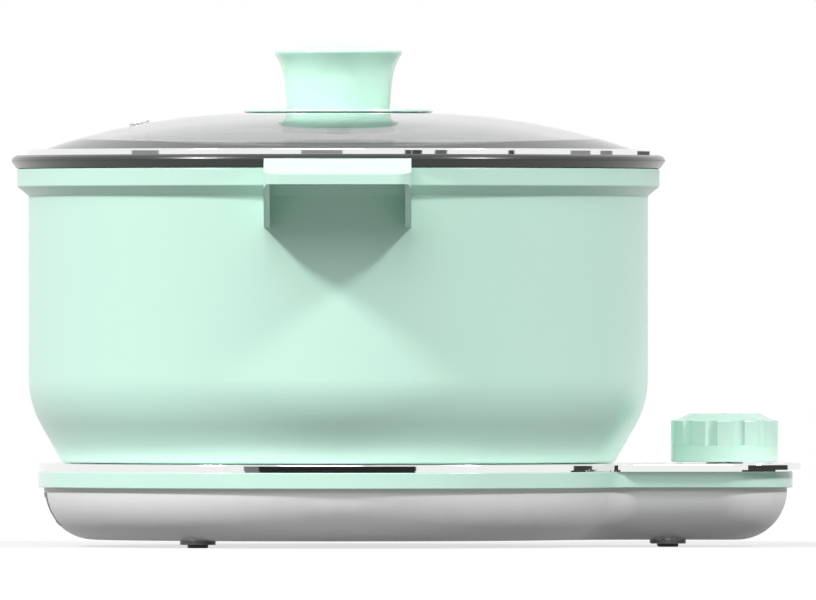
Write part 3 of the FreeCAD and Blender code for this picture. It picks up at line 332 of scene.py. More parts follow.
@dataclass
class Wardrobe:
    """Every finish of the object, by the record's material slot."""

    pot_x: float
    made: dict[str, bpy.types.Material] = field(default_factory=dict)

    def finishes(self) -> list[Finish]:
        """Lists the finishes.

        Returns:
            One finish for each slot, and those that only the picture's pieces use.
        """
        mint = (0.545, 0.80, 0.685)
        steel = (0.62, 0.62, 0.63)
        return [
            Finish("mint_plastic", mint, 0.22, Grain.MOULDED, coat=0.35, shift=0.015, depth=0.0015),
            Finish("mint_enamel", mint, 0.34, Grain.ENAMEL, coat=0.12, shift=0.012, depth=0.0012),
            Finish("pale_plastic", (0.74, 0.74, 0.74), 0.42, Grain.MOULDED, shift=0.01),
            Finish("polished_steel", (0.86, 0.87, 0.87), 0.05, Grain.POLISHED, metal=1.0,
                   shift=0.01, depth=0.0004),
            Finish("dark_coating", (0.020, 0.022, 0.021), 0.22, Grain.COATED, coat=0.15,
                   shift=0.25, depth=0.006),
            Finish("cast_aluminium", (0.58, 0.58, 0.59), 0.34, Grain.TURNED, metal=1.0,
                   shift=0.05, depth=0.02, axis_x=self.pot_x),
            Finish("shield_sheet", (0.74, 0.74, 0.75), 0.25, Grain.POLISHED, metal=1.0),
            Finish("heater_tube", (0.20, 0.19, 0.18), 0.45, Grain.CAST, metal=1.0, shift=0.12),
            Finish("plain_steel", steel, 0.30, Grain.POLISHED, metal=1.0, depth=0.002),
            Finish("brass", (0.72, 0.52, 0.22), 0.25, Grain.POLISHED, metal=1.0, depth=0.002),
            Finish("dark_plastic", (0.03, 0.03, 0.03), 0.38, Grain.MOULDED, shift=0.08),
            Finish("grey_plastic", (0.16, 0.16, 0.16), 0.40, Grain.MOULDED, shift=0.05),
            Finish("foot_rubber", (0.012, 0.012, 0.012), 0.60, Grain.CAST, shift=0.15, depth=0.02),
            ClearFinish("clear_glass", (0.72, 0.735, 0.73), 0.015, Grain.CLEAR, shift=0.01),
            ClearFinish("lens_plastic", (0.80, 0.10, 0.04), 0.06, Grain.CLEAR, passing=0.6),
            Finish("ceramic", (0.74, 0.70, 0.62), 0.50, Grain.CAST, shift=0.04, depth=0.01),
            Finish("scale_print", (0.10, 0.11, 0.11), 0.5, Grain.MOULDED, shift=0.05),
        ]

    def open(self) -> None:
        """Makes every material once."""
        for finish in self.finishes():
            self.made[finish.slot] = finish.material()

    def dress(self, piece: Piece, slot: str, print_slot: str | None = None) -> None:
        """Gives a piece its material.

        Args:
            piece: the piece.
            slot: the record's slot that its finish belongs to.
            print_slot: another finish to show, where the slot's own isn't it.
        """
        material = self.made[print_slot or slot]
        if piece.material_slots:
            for holder in piece.material_slots:
                holder.material = material
        else:
            piece.data.materials.append(material)


def arc(start: Spot, end: Spot, radius: float, left: bool = True) -> list[Spot]:
    """Points along an arc of less than half a turn, without its last point.

    Args:
        start: where the arc starts.
        end: where it ends.
        radius: its radius.
        left: whether it turns to the left on its way.

    Returns:
        The points.
    """
    chord = math.dist(start, end)
    rise = math.sqrt(max(radius * radius - chord * chord / 4, 0.0))
    side = 1.0 if left else -1.0
    across = (end[0] - start[0]) / chord
    up = (end[1] - start[1]) / chord
    middle = (
        (start[0] + end[0]) / 2 - side * rise * up,
        (start[1] + end[1]) / 2 + side * rise * across,
    )
    first = math.atan2(start[1] - middle[1], start[0] - middle[0])
    turn = 2 * math.asin(min(1.0, chord / 2 / radius)) * side
    steps = max(2, math.ceil(abs(math.degrees(turn)) / ARC_STEP_DEGREES))
    spots = []
    for step in range(steps):
        angle = first + turn * step / steps
        spots.append((middle[0] + radius * math.cos(angle), middle[1] + radius * math.sin(angle)))
    return spots


def softened(corners: Sequence[Corner]) -> list[Spot]:
    """A closed outline whose corners are rounded.

    Args:
        corners: for each corner its two places and its radius, 0 for a sharp one.

    Returns:
        The outline's points.
    """
    spots: list[Spot] = []
    count = len(corners)
    for index, (across, up, radius) in enumerate(corners):
        before = corners[index - 1]
        after = corners[(index + 1) % count]
        if radius <= 0:
            spots.append((across, up))
            continue
        into = (across - before[0], up - before[1])
        away = (after[0] - across, after[1] - up)
        into_length, away_length = math.hypot(*into), math.hypot(*away)
        cross = into[0] * away[1] - into[1] * away[0]
        dot = into[0] * away[0] + into[1] * away[1]
        turn = math.atan2(cross, dot)
        reach = radius * math.tan(abs(turn) / 2)
        start = (across - into[0] / into_length * reach, up - into[1] / into_length * reach)
        end = (across + away[0] / away_length * reach, up + away[1] / away_length * reach)
        spots += arc(start, end, radius, turn > 0)
        spots.append(end)
    return spots


class Mould:
    """Makes the meshes, from sizes in millimetres."""

    def __init__(self, wardrobe: Wardrobe, nodes: dict[str, Piece]) -> None:
        """Keeps the finishes and the nodes of the frame."""
        self.wardrobe = wardrobe
        self.nodes = nodes

    def piece(self, name: str, spots: list[Corner], faces: Iterable[Sequence[int]]) -> Piece:
        """Makes an object from corners and faces.

        Args:
            name: its name.
            spots: its corners, in millimetres.
            faces: its faces, as the numbers of their corners.

        Returns:
            The object, shaded smooth.
        """
        mesh = bpy.data.meshes.new(name)
        mesh.from_pydata([tuple(part * MM for part in spot) for spot in spots], [], list(faces))
        shape = bmesh.new()
        shape.from_mesh(mesh)
        bmesh.ops.recalc_face_normals(shape, faces=shape.faces)
        shape.to_mesh(mesh)
        shape.free()
        return self.shaded(name, mesh)

    def shaded(self, name: str, mesh: bpy.types.Mesh) -> Piece:
        """Puts a mesh in the scene, smooth but for its sharp corners.

        Args:
            name: the piece's name.
            mesh: the mesh.

        Returns:
            The piece.
        """
        mesh.shade_smooth()
        mesh.set_sharp_from_angle(angle=math.radians(SHARP_DEGREES))
        piece = bpy.data.objects.new(name, mesh)
        bpy.context.scene.collection.objects.link(piece)
        level = piece.modifiers.new("even_shading", "WEIGHTED_NORMAL")
        level.keep_sharp = True
        level.weight = 90
        return piece

    def turned(self, name: str, axis_x: float, outline: list[Spot], steps: int) -> Piece:
        """Turns a closed outline of radius and height about an upright axis.

        Args:
            name: the piece's name.
            axis_x: where the axis stands.
            outline: the outline.
            steps: how many faces go round.

        Returns:
            The piece.
        """
        spots: list[Corner] = []
        rings: list[list[int]] = []
        for radius, height in outline:
            if radius < 1e-6:
                rings.append([len(spots)] * steps)
                spots.append((axis_x, 0.0, height))
                continue
            rings.append(list(range(len(spots), len(spots) + steps)))
            for step in range(steps):
                angle = 2 * math.pi * step / steps
                across, up = radius * math.cos(angle), radius * math.sin(angle)
                spots.append((axis_x + across, up, height))
        return self.piece(name, spots, self.walls(rings + rings[:1]))

    @staticmethod
    def walls(rings: list[list[int]]) -> list[list[int]]:
        """Faces between each closed ring of corners and the next.

        Args:
            rings: the numbers of each ring's corners, as many in each.

        Returns:
            The faces, without those that come to a line.
        """
        faces = []
        for low, high in zip(rings, rings[1:]):
            for index in range(len(low)):
                after = (index + 1) % len(low)
                face = [low[index], low[after], high[after], high[index]]
                face = list(dict.fromkeys(face))
                if len(face) > 2:
                    faces.append(face)
        return faces

    def stacked(self, name: str, levels: list[tuple[list[Spot], float]], closed: bool) -> Piece:
        """Joins plan outlines of equal count, one above the other.

        Args:
            name: the piece's name.
            levels: each outline with its height.
            closed: whether the last level goes back to the first, and not to two lids.

        Returns:
            The piece.
        """
        spots: list[Corner] = []
        rings: list[list[int]] = []
        for outline, height in levels:
            rings.append(list(range(len(spots), len(spots) + len(outline))))
            spots += [(across, up, height) for across, up in outline]
        faces = self.walls(rings + (rings[:1] if closed else []))
        if not closed:
            faces += [rings[0], rings[-1]]
        return self.piece(name, spots, faces)

    def refined(self, name: str, node: str, edge: float) -> Piece:
        """A smoother copy of a node, its sharp edges broken.

        Args:
            name: the piece's name.
            node: the node that it copies.
            edge: how wide the broken edge is, or 0 for none.

        Returns:
            The piece.
        """
        mesh = self.nodes[node].data.copy()
        mesh.materials.clear()
        shape = bmesh.new()
        shape.from_mesh(mesh)
        bmesh.ops.remove_doubles(shape, verts=shape.verts, dist=2e-6)
        if edge > 0:
            bmesh.ops.dissolve_limit(
                shape, angle_limit=math.radians(0.6), verts=shape.verts, edges=shape.edges
            )
        shape.to_mesh(mesh)
        shape.free()
        piece = self.shaded(name, mesh)
        if edge > 0:
            broken = piece.modifiers.new("broken_edges", "BEVEL")
            broken.width = edge * MM
            broken.segments = 3
            broken.limit_method = "ANGLE"
            broken.angle_limit = math.radians(40)
            piece.modifiers.move(1, 0)
        return piece

    def seat(self, piece: Piece, body: str, slot: str, *nodes: str) -> Piece:
        """Dresses a piece, lets it ride on a body and stand for nodes.

        Args:
            piece: the piece.
            body: the body that carries it.
            slot: the record's material slot.
            nodes: the nodes that it replaces.

        Returns:
            The piece.
        """
        self.wardrobe.dress(piece, slot)
        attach(piece, body)
        if nodes:
            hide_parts(*nodes)
        log.info("%s rides on %s in %s", piece.name, body, slot)
        return piece


@dataclass
class Plan:
    """Plan of the base: a round about the pot's axis and a tongue to the dial."""

    axis_x: float
    radius: float
    half: float
    reach: float
    corner: float
    hollow: float

    def inset(self, inwards: float) -> "Plan":
        """The same plan, further in."""
        return Plan(
            self.axis_x,
            self.radius - inwards,
            self.half - inwards,
            self.reach - inwards,
            self.corner - inwards,
            self.hollow + inwards,
        )

    def outline(self) -> list[Spot]:
        """The plan's points, anticlockwise, as many for every inset.

        Returns:
            The points.
        """
        span = self.radius + self.hollow
        join_x = math.sqrt(span ** 2 - (self.half + self.hollow) ** 2)
        joint = math.atan2(self.half + self.hollow, join_x)
        spots: list[Spot] = []

        def sweep(middle: Spot, radius: float, first: float, last: float, steps: int) -> None:
            """Adds points round a middle."""
            for step in range(steps + 1):
                angle = first + (last - first) * step / steps
                across, up = radius * math.cos(angle), radius * math.sin(angle)
                spots.append((self.axis_x + middle[0] + across, middle[1] + up))

        right = self.reach - self.corner
        side = self.half - self.corner
        quarter = math.pi / 2
        sweep((right, side), self.corner, 0.0, quarter, 24)
        sweep((join_x, self.half + self.hollow), self.hollow, -quarter, joint - 2 * quarter, 16)
        sweep((0.0, 0.0), self.radius, joint, 4 * quarter - joint, 220)
        sweep((join_x, -self.half - self.hollow), self.hollow, 2 * quarter - joint, quarter, 16)
        sweep((right, -side), self.corner, -quarter, 0.0, 24)
        return spots


def rounded_steps(size: float, steps: int = 8) -> list[Spot]:
    """A quarter round from its foot to its crown.

    Args:
        size: its radius.
        steps: how many steps it takes.

    Returns:
        For each step how far in and how far up it is.
    """
    spots = []
    for step in range(steps + 1):
        angle = math.pi / 2 * step / steps
        spots.append((size * (1 - math.cos(angle)), size * math.sin(angle)))
    return spots


@dataclass
class Base:
    """The base: tray, mint band, polished cover, hot plate, feet and inlet."""

    mould: Mould
    pot_x: float
    band_radius: float = 137.5
    tongue_half: float = 48.0
    tongue_reach: float = 208.0
    tongue_corner: float = 32.0
    tongue_hollow: float = 14.0
    band_wall: float = 2.6
    band_edge: float = 0.5
    inner_share: float = 0.99
    inner_height_share: float = 0.98
    plate_over: float = 0.2
    plate_side: float = 3.5
    plate_end: float = 4.0
    plate_turn: float = 2.0
    plate_sheet: float = 1.0
    plate_edge: float = 0.8
    strip_inset: float = 1.0
    strip_height: float = 0.8
    heat_hole: float = 88.8
    lens_radius: float = 2.5
    lens_rise: float = 0.5
    dial_from_pot: float = 177.0
    spring_give: float = 2.2
    tick_near: float = 27.5
    tick_far: float = 31.0
    ticks: int = 7
    first_tick: float = -225.0
    tick_pitch: float = 45.0
    tick_half: float = 0.35
    tick_growth: float = 0.06
    ink: float = 0.04

    def band_plan(self) -> Plan:
        """Plan of the mint band's outside."""
        return Plan(self.pot_x, self.band_radius, self.tongue_half, self.tongue_reach,
                    self.tongue_corner, self.tongue_hollow)

    def plate_plan(self) -> Plan:
        """Plan of the polished cover's edge."""
        return Plan(
            self.pot_x,
            self.band_radius + self.plate_over,
            self.tongue_half + self.plate_side,
            self.tongue_reach + self.plate_end,
            self.tongue_corner + self.plate_turn,
            self.tongue_hollow - self.plate_turn,
        )

    def band(self) -> Piece:
        """Builds the mint band, its upper and lower edges broken.

        Returns:
            The band. The floor inside it is a piece of its own.
        """
        low, high = heights("base_band")
        plan = self.band_plan()
        edge = rounded_steps(self.band_edge, 4)
        levels = [(plan.inset(self.band_wall).outline(), low)]
        levels += [
            (plan.inset(inwards).outline(), low + self.band_edge - rise)
            for inwards, rise in reversed(edge)
        ]
        levels += [
            (plan.inset(inwards).outline(), high - self.band_edge + rise) for inwards, rise in edge
        ]
        levels.append((plan.inset(self.band_wall).outline(), high))
        piece = self.mould.stacked("band", levels, closed=True)
        self.mould.seat(piece, "base", "mint_plastic", "base_band")
        floor = self.mould.refined("band_floor", "base_band", 0.0)
        low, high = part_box("base_band")
        middle = [(low[axis] + high[axis]) / 2 for axis in range(3)]
        shrink = (self.inner_share, self.inner_share, self.inner_height_share)
        for corner in floor.data.vertices:
            corner.co = [
                middle[axis] + (corner.co[axis] - middle[axis]) * shrink[axis]
                for axis in range(3)
            ]
        self.mould.seat(floor, "base", "mint_plastic")
        return piece

    def cover(self) -> Piece:
        """Builds the polished cover with its rolled edge and the recessed strip.

        Returns:
            The cover.
        """
        low, high = heights("top_plate")
        strip = self.band_plan().inset(self.strip_inset).outline()
        plan = self.plate_plan()
        shelf = low + self.strip_height
        levels = [(strip, low), (strip, shelf), (plan.outline(), shelf)]
        for inwards, rise in rounded_steps(self.plate_edge):
            levels.append((plan.inset(inwards).outline(), high - self.plate_edge + rise))
        rim = levels[-1][0]
        hole = []
        for across, up in rim:
            reach = math.hypot(across - self.pot_x, up)
            share = self.heat_hole / reach
            hole.append((self.pot_x + (across - self.pot_x) * share, up * share))
        inside = self.band_plan().inset(self.band_wall).outline()
        under = high - self.plate_sheet
        levels += [(hole, high), (hole, under), (inside, under), (inside, low)]
        piece = self.mould.stacked("cover", levels, closed=True)
        return self.mould.seat(piece, "base", "polished_steel", "top_plate")

    def light(self) -> Piece:
        """Builds the indicator's lens as a low bead.

        Returns:
            The lens.
        """
        low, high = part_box("indicator_lens")
        middle = ((low[0] + high[0]) / 2 / MM, (low[1] + high[1]) / 2 / MM)
        radius = self.lens_radius
        top = high[2] / MM
        outline = [(0.0, low[2] / MM), (radius, low[2] / MM), (radius, top)]
        bead = (radius * radius + self.lens_rise ** 2) / (2 * self.lens_rise)
        outline += arc((radius, top), (0.0, top + self.lens_rise), bead)[1:]
        outline.append((0.0, top + self.lens_rise))
        piece = self.mould.turned("indicator_bead", middle[0], outline, 48)
        for corner in piece.data.vertices:
            corner.co.y += middle[1] * MM
        return self.mould.seat(piece, "base", "lens_plastic", "indicator_lens")

    def scale(self) -> Piece:
        """Builds the printed ticks round the dial, from low heat to high.

        Returns:
            The ticks, as one piece.
        """
        top = heights("top_plate")[1]
        middle = self.pot_x + self.dial_from_pot
        spots: list[Corner] = []
        faces: list[list[int]] = []
        for tick in range(self.ticks):
            angle = math.radians(self.first_tick + self.tick_pitch * tick)
            half = self.tick_half + self.tick_growth * tick
            first = len(spots)
            for height in (top, top + self.ink):
                for reach, side in ((self.tick_near, -half), (self.tick_far, -half),
                                    (self.tick_far, half), (self.tick_near, half)):
                    across = reach * math.cos(angle) - side * math.sin(angle)
                    up = reach * math.sin(angle) + side * math.cos(angle)
                    spots.append((middle + across, up, height))
            ring = [first, first + 1, first + 2, first + 3]
            high = [corner + 4 for corner in ring]
            faces += Mould.walls([ring, high]) + [high]
        piece = self.mould.piece("scale_ticks", spots, faces)
        self.mould.seat(piece, "base", "dark_plastic")
        self.mould.wardrobe.dress(piece, "dark_plastic", "scale_print")
        return piece

    def spring(self) -> Piece:
        """Builds the probe's spring as a smoothed copy of its node.

        Returns:
            The spring.
        """
        piece = self.mould.refined("coil_spring", "probe_spring", 0.0)
        self.mould.seat(piece, "base", "plain_steel", "probe_spring")
        low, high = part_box("probe_spring")
        keep = 1 - self.spring_give * MM / (high[2] - low[2])
        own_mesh(piece)
        return piece

    def build(self) -> None:
        """Builds every piece of the base."""
        self.spring()
        self.mould.seat(self.mould.refined("tray", "base_tray", 0.0), "base", "pale_plastic",
                        "base_tray")
        self.band()
        self.cover()
        self.light()
        self.scale()


@dataclass
class Pot:
    """The pot: mint jacket, dark pan and two hood handles."""

    mould: Mould
    pot_x: float
    wall: float = 141.9
    sheet: float = 1.5
    bend: float = 43.5
    bend_rise: float = 38.7
    bend_angle: float = 29.4
    collar: float = 147.2
    collar_height: float = 8.2
    collar_slope: float = 4.4
    mouth: float = 96.0
    foot_round: float = 2.2
    lip: float = 136.8
    air_gap: float = 4.0
    pan_thick: float = 3.0
    pan_floor: float = 3.2
    rim: float = 150.0
    rim_root: float = 147.5
    rim_height: float = 5.9
    rim_step: float = 143.5
    rim_round: float = 2.5
    rim_shoulder: float = 0.35
    ledge_drop: float = 3.6
    inner_bend: float = 9.5
    slope_shift: float = 0.45
    handle_edge: float = 0.55

    def corner_height(self, low: float, inset: float) -> float:
        """Height where the upright wall and the taper would meet.

        Args:
            low: the jacket's lowest height.
            inset: how far inside the jacket's outer face.

        Returns:
            The height.
        """
        half = math.tan(math.radians(self.bend_angle / 2))
        return low + self.bend_rise - (self.bend - inset) * half

    def foot(self, low: float, inset: float, height: float) -> float:
        """Radius of the tapered foot at a height.

        Args:
            low: the jacket's lowest height.
            inset: how far inside the jacket's outer face.
            height: the height.

        Returns:
            The radius.
        """
        slope = math.tan(math.radians(self.bend_angle))
        drop = self.corner_height(low, inset) - height
        return self.wall - inset - drop * slope

    def jacket(self) -> Piece:
        """Builds the mint jacket, outside and inside.

        Returns:
            The jacket.
        """
        low, high = heights("pot_shell")
        sheet = self.sheet
        slope_top = high - self.collar_height
        slope_low = slope_top - self.collar_slope
        shift = self.slope_shift
        outline = softened([
            (self.mouth, low, 0.5),
            (self.foot(low, 0, low), low, self.foot_round),
            (self.wall, self.corner_height(low, 0), self.bend),
            (self.wall, slope_low, 0.8),
            (self.collar, slope_top, 1.0),
            (self.collar, high, 0.7),
            (self.lip, high, 0.2),
            (self.lip, high - sheet, 0.2),
            (self.collar - sheet, high - sheet, 0.4),
            (self.collar - sheet, slope_top + shift, 0.4),
            (self.wall - sheet, slope_low + shift, 0.4),
            (self.wall - sheet, self.corner_height(low, sheet), self.bend - sheet),
            (self.foot(low, sheet, low + sheet), low + sheet, 0.6),
            (self.mouth, low + sheet, 0.5),
        ])
        piece = self.mould.turned("jacket", self.pot_x, outline, TURNED_STEPS)
        return self.mould.seat(piece, "pot", "mint_enamel", "pot_shell")

    def pan(self) -> Piece:
        """Builds the dark pan with its rim bead and the lid's ledge.

        Returns:
            The pan.
        """
        low, high = heights("inner_pan")
        jacket_low = heights("pot_shell")[0]
        inset = self.sheet + self.air_gap
        inner = inset + self.pan_thick
        floor = low + self.pan_floor
        under = high - self.rim_height
        ledge = high - self.ledge_drop
        shoulder = self.rim_round * self.rim_shoulder
        outline = softened([
            (0.0, low, 0.0),
            (self.foot(jacket_low, inset, low), low, 1.0),
            (self.wall - inset, self.corner_height(jacket_low, inset), self.bend - inset),
            (self.wall - inset, under, 0.3),
            (self.rim_root, under, 0.5),
            (self.rim, high - self.rim_round, 1.2),
            (self.rim - shoulder, high - shoulder, 1.6),
            (self.rim - self.rim_round, high, 1.2),
            (self.rim_step, high, 1.0),
            (self.rim_step, ledge, 0.4),
            (self.wall - inner, ledge, 1.8),
            (self.wall - inner, self.corner_height(jacket_low, inner), self.bend - inner),
            (self.foot(jacket_low, inner, floor), floor, self.inner_bend),
            (0.0, floor, 0.0),
        ])
        piece = self.mould.turned("pan", self.pot_x, outline, TURNED_STEPS)
        return self.mould.seat(piece, "pot", "dark_coating", "inner_pan")

    def build(self) -> None:
        """Builds every piece of the pot."""
        self.jacket()
        self.pan()
        for side in ("front", "back"):
            node = "handle_" + side
            piece = self.mould.refined("hood_" + side, node, self.handle_edge)
            self.mould.seat(piece, "pot", "mint_plastic", node)


@dataclass
class Lid:
    """The lid: domed glass in a steel band, with the flared knob in its middle."""

    mould: Mould
    pot_x: float
    flat: float = 34.4
    hole: float = 2.8
    glass: float = 142.1
    thick: float = 4.0
    band: float = 143.1
    flange: float = 137.8
    sheet: float = 0.6
    foot: float = 138.8
    disc: float = 43.3
    disc_lip: float = 0.6
    disc_thick: float = 0.7
    knob_foot: float = 23.6
    knob_waist: float = 24.9
    knob_flare: float = 28.9
    knob_rim: float = 29.3
    bore: float = 3.0
    waist_drop: float = 13.4
    flare_drop: float = 2.2
    flare_bend: float = 24.0
    cap: float = 20.6
    cap_seat: float = 1.6
    cap_rise: float = 3.2
    fit: float = 0.1
    glass_edge: float = 0.4
    boss_foot: float = 26.8
    boss_top: float = 24.0
    boss_bore: float = 2.5
    boss_nut: float = 5.9
    boss_floor: float = 2.0

    def dome(self) -> Piece:
        """Builds the domed glass, of even thickness, ground flat where it sits.

        Returns:
            The glass.
        """
        low, top = heights("lid_glass")
        ring_top = heights("lid_ring")[1]
        run = self.flange - self.flat
        fall = top - (ring_top - self.sheet - self.fit)
        radius = (run * run + fall * fall) / (2 * fall)
        inner = radius - self.thick
        under_fall = top - self.thick - low
        under_run = math.sqrt(under_fall * (2 * inner - under_fall))
        edge_run = self.glass - self.flat
        edge_z = top - radius + math.sqrt(radius * radius - edge_run * edge_run)
        under = top - self.thick
        outline = [(self.hole, under)]
        outline += arc((self.flat, under), (self.flat + under_run, low), inner, left=False)
        outline += [
            (self.flat + under_run, low),
            (self.glass - self.glass_edge, low),
            (self.glass, low + self.glass_edge),
        ]
        outline += arc((self.glass, edge_z), (self.flat, top), radius)
        outline += [(self.flat, top), (self.hole, top)]
        piece = self.mould.turned("glass_dome", self.pot_x, outline, TURNED_STEPS)
        return self.mould.seat(piece, "lid", "clear_glass", "lid_glass")

    def vent(self) -> None:
        """Gives the steam eyelet a duller steel than the band's, so that it shows."""
        eyelet = self.mould.nodes["steam_vent"]
        self.mould.wardrobe.dress(eyelet, "polished_steel", "plain_steel")

    def ring(self) -> Piece:
        """Builds the rolled steel band, open inwards.

        Returns:
            The band.
        """
        low, high = heights("lid_ring")
        sheet = self.sheet
        outline = softened([
            (self.foot, low, 0.1),
            (self.band, low, 0.9),
            (self.band, high, 0.9),
            (self.flange, high, 0.25),
            (self.flange, high - sheet, 0.25),
            (self.band - sheet, high - sheet, 0.25),
            (self.band - sheet, low + sheet, 0.25),
            (self.foot, low + sheet, 0.1),
        ])
        piece = self.mould.turned("steel_band", self.pot_x, outline, TURNED_STEPS)
        return self.mould.seat(piece, "lid", "polished_steel", "lid_ring")

    def knob(self) -> list[Piece]:
        """Builds the knob, its cap, the disc under it and the boss under the glass.

        Returns:
            The four pieces.
        """
        foot = heights("lid_knob")[0]
        top = heights("knob_cap")[1] - self.cap_rise
        waist = (self.knob_waist, top - self.waist_drop)
        flare = (self.knob_flare, top - self.flare_drop)
        outline = [(self.bore, foot), (self.knob_foot, foot)]
        outline += arc(waist, flare, self.flare_bend, left=False)
        outline += softened([
            (flare[0], flare[1], 0.0),
            (self.knob_rim, flare[1] + 0.9, 0.4),
            (self.knob_rim, top, 1.0),
            (self.cap + self.fit, top, 0.15),
            (self.cap + self.fit, top - self.cap_seat, 0.0),
            (self.bore, top - self.cap_seat, 0.0),
        ])
        body = self.mould.turned("knob_body", self.pot_x, outline, SMALL_TURNED_STEPS)
        self.mould.seat(body, "lid", "mint_plastic", "lid_knob")

        crown = (self.cap ** 2 + self.cap_rise ** 2) / (2 * self.cap_rise)
        seat = top - self.cap_seat + self.fit
        outline = [(0.0, seat), (self.cap, seat)]
        outline += arc((self.cap, top - self.fit), (0.0, top + self.cap_rise), crown)
        outline.append((0.0, top + self.cap_rise))
        cap = self.mould.turned("knob_crown", self.pot_x, outline, CROWN_TURNED_STEPS)
        self.mould.seat(cap, "lid", "mint_plastic", "knob_cap")

        low = heights("knob_flange")[0]
        lip = self.disc_lip
        level = low + self.disc_thick
        outline = [(self.bore, low), (self.disc - lip, low)]
        outline += arc((self.disc - lip, low), (self.disc, low + lip), lip)
        outline += [(self.disc, low + lip), (self.disc - lip / 2, level + lip),
                    (self.disc - lip * 2, level), (self.bore, level)]
        disc = self.mould.turned("knob_disc", self.pot_x, outline, SMALL_TURNED_STEPS)
        self.mould.seat(disc, "lid", "mint_plastic", "knob_flange")

        low, high = heights("knob_seat")
        outline = softened([
            (self.boss_nut, low, 0.2),
            (self.boss_foot, low, 0.6),
            (self.boss_top, high, 0.1),
            (self.boss_bore, high, 0.1),
            (self.boss_bore, high - self.boss_floor, 0.1),
            (self.boss_nut, high - self.boss_floor, 0.1),
        ])
        boss = self.mould.turned("knob_boss", self.pot_x, outline, CROWN_TURNED_STEPS)
        self.mould.seat(boss, "lid", "mint_plastic", "knob_seat")
        return [body, cap, disc, boss]

    def build(self) -> None:
        """Builds every piece of the lid."""
        self.dome()
        self.vent()
        self.ring()
        self.knob()


@dataclass
class Dial:
    """The temperature dial, with its flutes and its pointer."""

    mould: Mould
    axis_x: float
    radius: float = 24.6
    skirt: float = 7.5
    grip: float = 11.45
    ledge: float = 0.65
    cone: float = 2.5
    ledge_radius: float = 20.7
    top_radius: float = 16.2
    flutes: int = 12
    flute_radius: float = 3.0
    flute_offset: float = 1.2
    pointer_width: float = 1.6
    pointer_edge: float = 1.5
    pointer_end: float = 4.0
    hollow: float = 2.2
    skirt_round: float = 0.5
    grip_round: float = 0.6
    steps: int = 720

    def flute_cut(self, degrees: float, reach: float) -> float:
        """Radius of the grip at an angle, where a flute may cut it.

        Args:
            degrees: the angle.
            reach: the radius between the flutes.

        Returns:
            The radius.
        """
        pitch = 360 / self.flutes
        away = math.radians((degrees % pitch) - pitch / 2)
        centre = self.radius + self.flute_offset
        inside = self.flute_radius ** 2 - (centre * math.sin(away)) ** 2
        if inside <= 0:
            return reach
        return min(reach, centre * math.cos(away) - math.sqrt(inside))

    def ring(self, radius: float, fluted: bool) -> list[Spot]:
        """One level of the dial.

        Args:
            radius: its radius.
            fluted: whether the flutes cut it.

        Returns:
            Its points round the axis.
        """
        spots = []
        for step in range(self.steps):
            degrees = 360 * step / self.steps
            reach = self.flute_cut(degrees, radius) if fluted else radius
            angle = math.radians(degrees)
            spots.append((self.axis_x + reach * math.cos(angle), reach * math.sin(angle)))
        return spots

    def build(self) -> None:
        """Builds the dial and its pointer, level by level."""
        low = heights("control_knob")[0]
        skirt = low + self.skirt
        ledge = skirt + self.grip
        radius = self.radius
        levels = [(self.ring(radius - self.hollow, False), low)]
        for inwards, rise in reversed(rounded_steps(self.skirt_round, 4)):
            levels.append((self.ring(radius - inwards, False), low + self.skirt_round - rise))
        levels += [
            (self.ring(radius, False), skirt - 0.3),
            (self.ring(radius - 0.15, False), skirt),
            (self.ring(radius - 0.1, True), skirt + 0.02),
            (self.ring(radius, True), skirt + 0.4),
        ]
        for inwards, rise in rounded_steps(self.grip_round, 5):
            levels.append((self.ring(radius - inwards, True), ledge - self.grip_round + rise))
        rim = ledge + self.ledge
        top = rim + self.cone
        levels += [
            (self.ring(self.ledge_radius + 0.4, False), rim - 0.1),
            (self.ring(self.ledge_radius, False), rim + 0.15),
            (self.ring(self.top_radius + 0.5, False), top - 0.25),
            (self.ring(self.top_radius, False), top),
            (self.ring(self.top_radius - 0.8, False), top),
        ]
        piece = self.mould.stacked("dial", levels, closed=False)
        self.mould.seat(piece, "dial", "mint_plastic", "control_knob")

        self.pointer(top)

    def pointer(self, top: float) -> None:
        """Builds the pointer on the dial's top.

        Args:
            top: how high the top is.
        """
        half = self.pointer_width / 2
        near, far = self.pointer_edge - self.top_radius, -self.pointer_end
        spots = []
        for height, shrink in ((top - 0.3, 0.0), (top + 0.05, 0.15)):
            spots += [
                (self.axis_x - half + shrink, near + shrink, height),
                (self.axis_x + half - shrink, near + shrink, height),
                (self.axis_x + half - shrink, far - shrink, height),
                (self.axis_x - half + shrink, far - shrink, height),
            ]
        rings = [[0, 1, 2, 3], [4, 5, 6, 7]]
        mark = self.mould.piece("dial_pointer", spots, Mould.walls(rings) + [rings[1]])
        self.mould.seat(mark, "dial", "dark_plastic")
        self.mould.wardrobe.dress(mark, "dark_plastic", "scale_print")


@dataclass
class Flag:
    """A narrow dark card, as in a studio, by where the lid's band or the cover shows it."""

    left: float
    right: float
    shade: float = 0.03
    radius: float = 143.1
    low: float = 174.0
    high: float = 189.0
    away: float = 600.0

    def turn(self, across: float) -> float:
        """Direction from the axis, in radians, of what a round mirror shows at a place."""
        lean = math.asin(across / self.radius)
        return 2 * lean - math.asin(self.radius / self.away * math.sin(lean))

    def ends(self, axis_x: float) -> list[Spot]:
        """Both ends of the card's foot."""
        return [
            (axis_x + self.away * math.sin(turn), -self.away * math.cos(turn))
            for turn in (self.turn(self.left), self.turn(self.right))
        ]


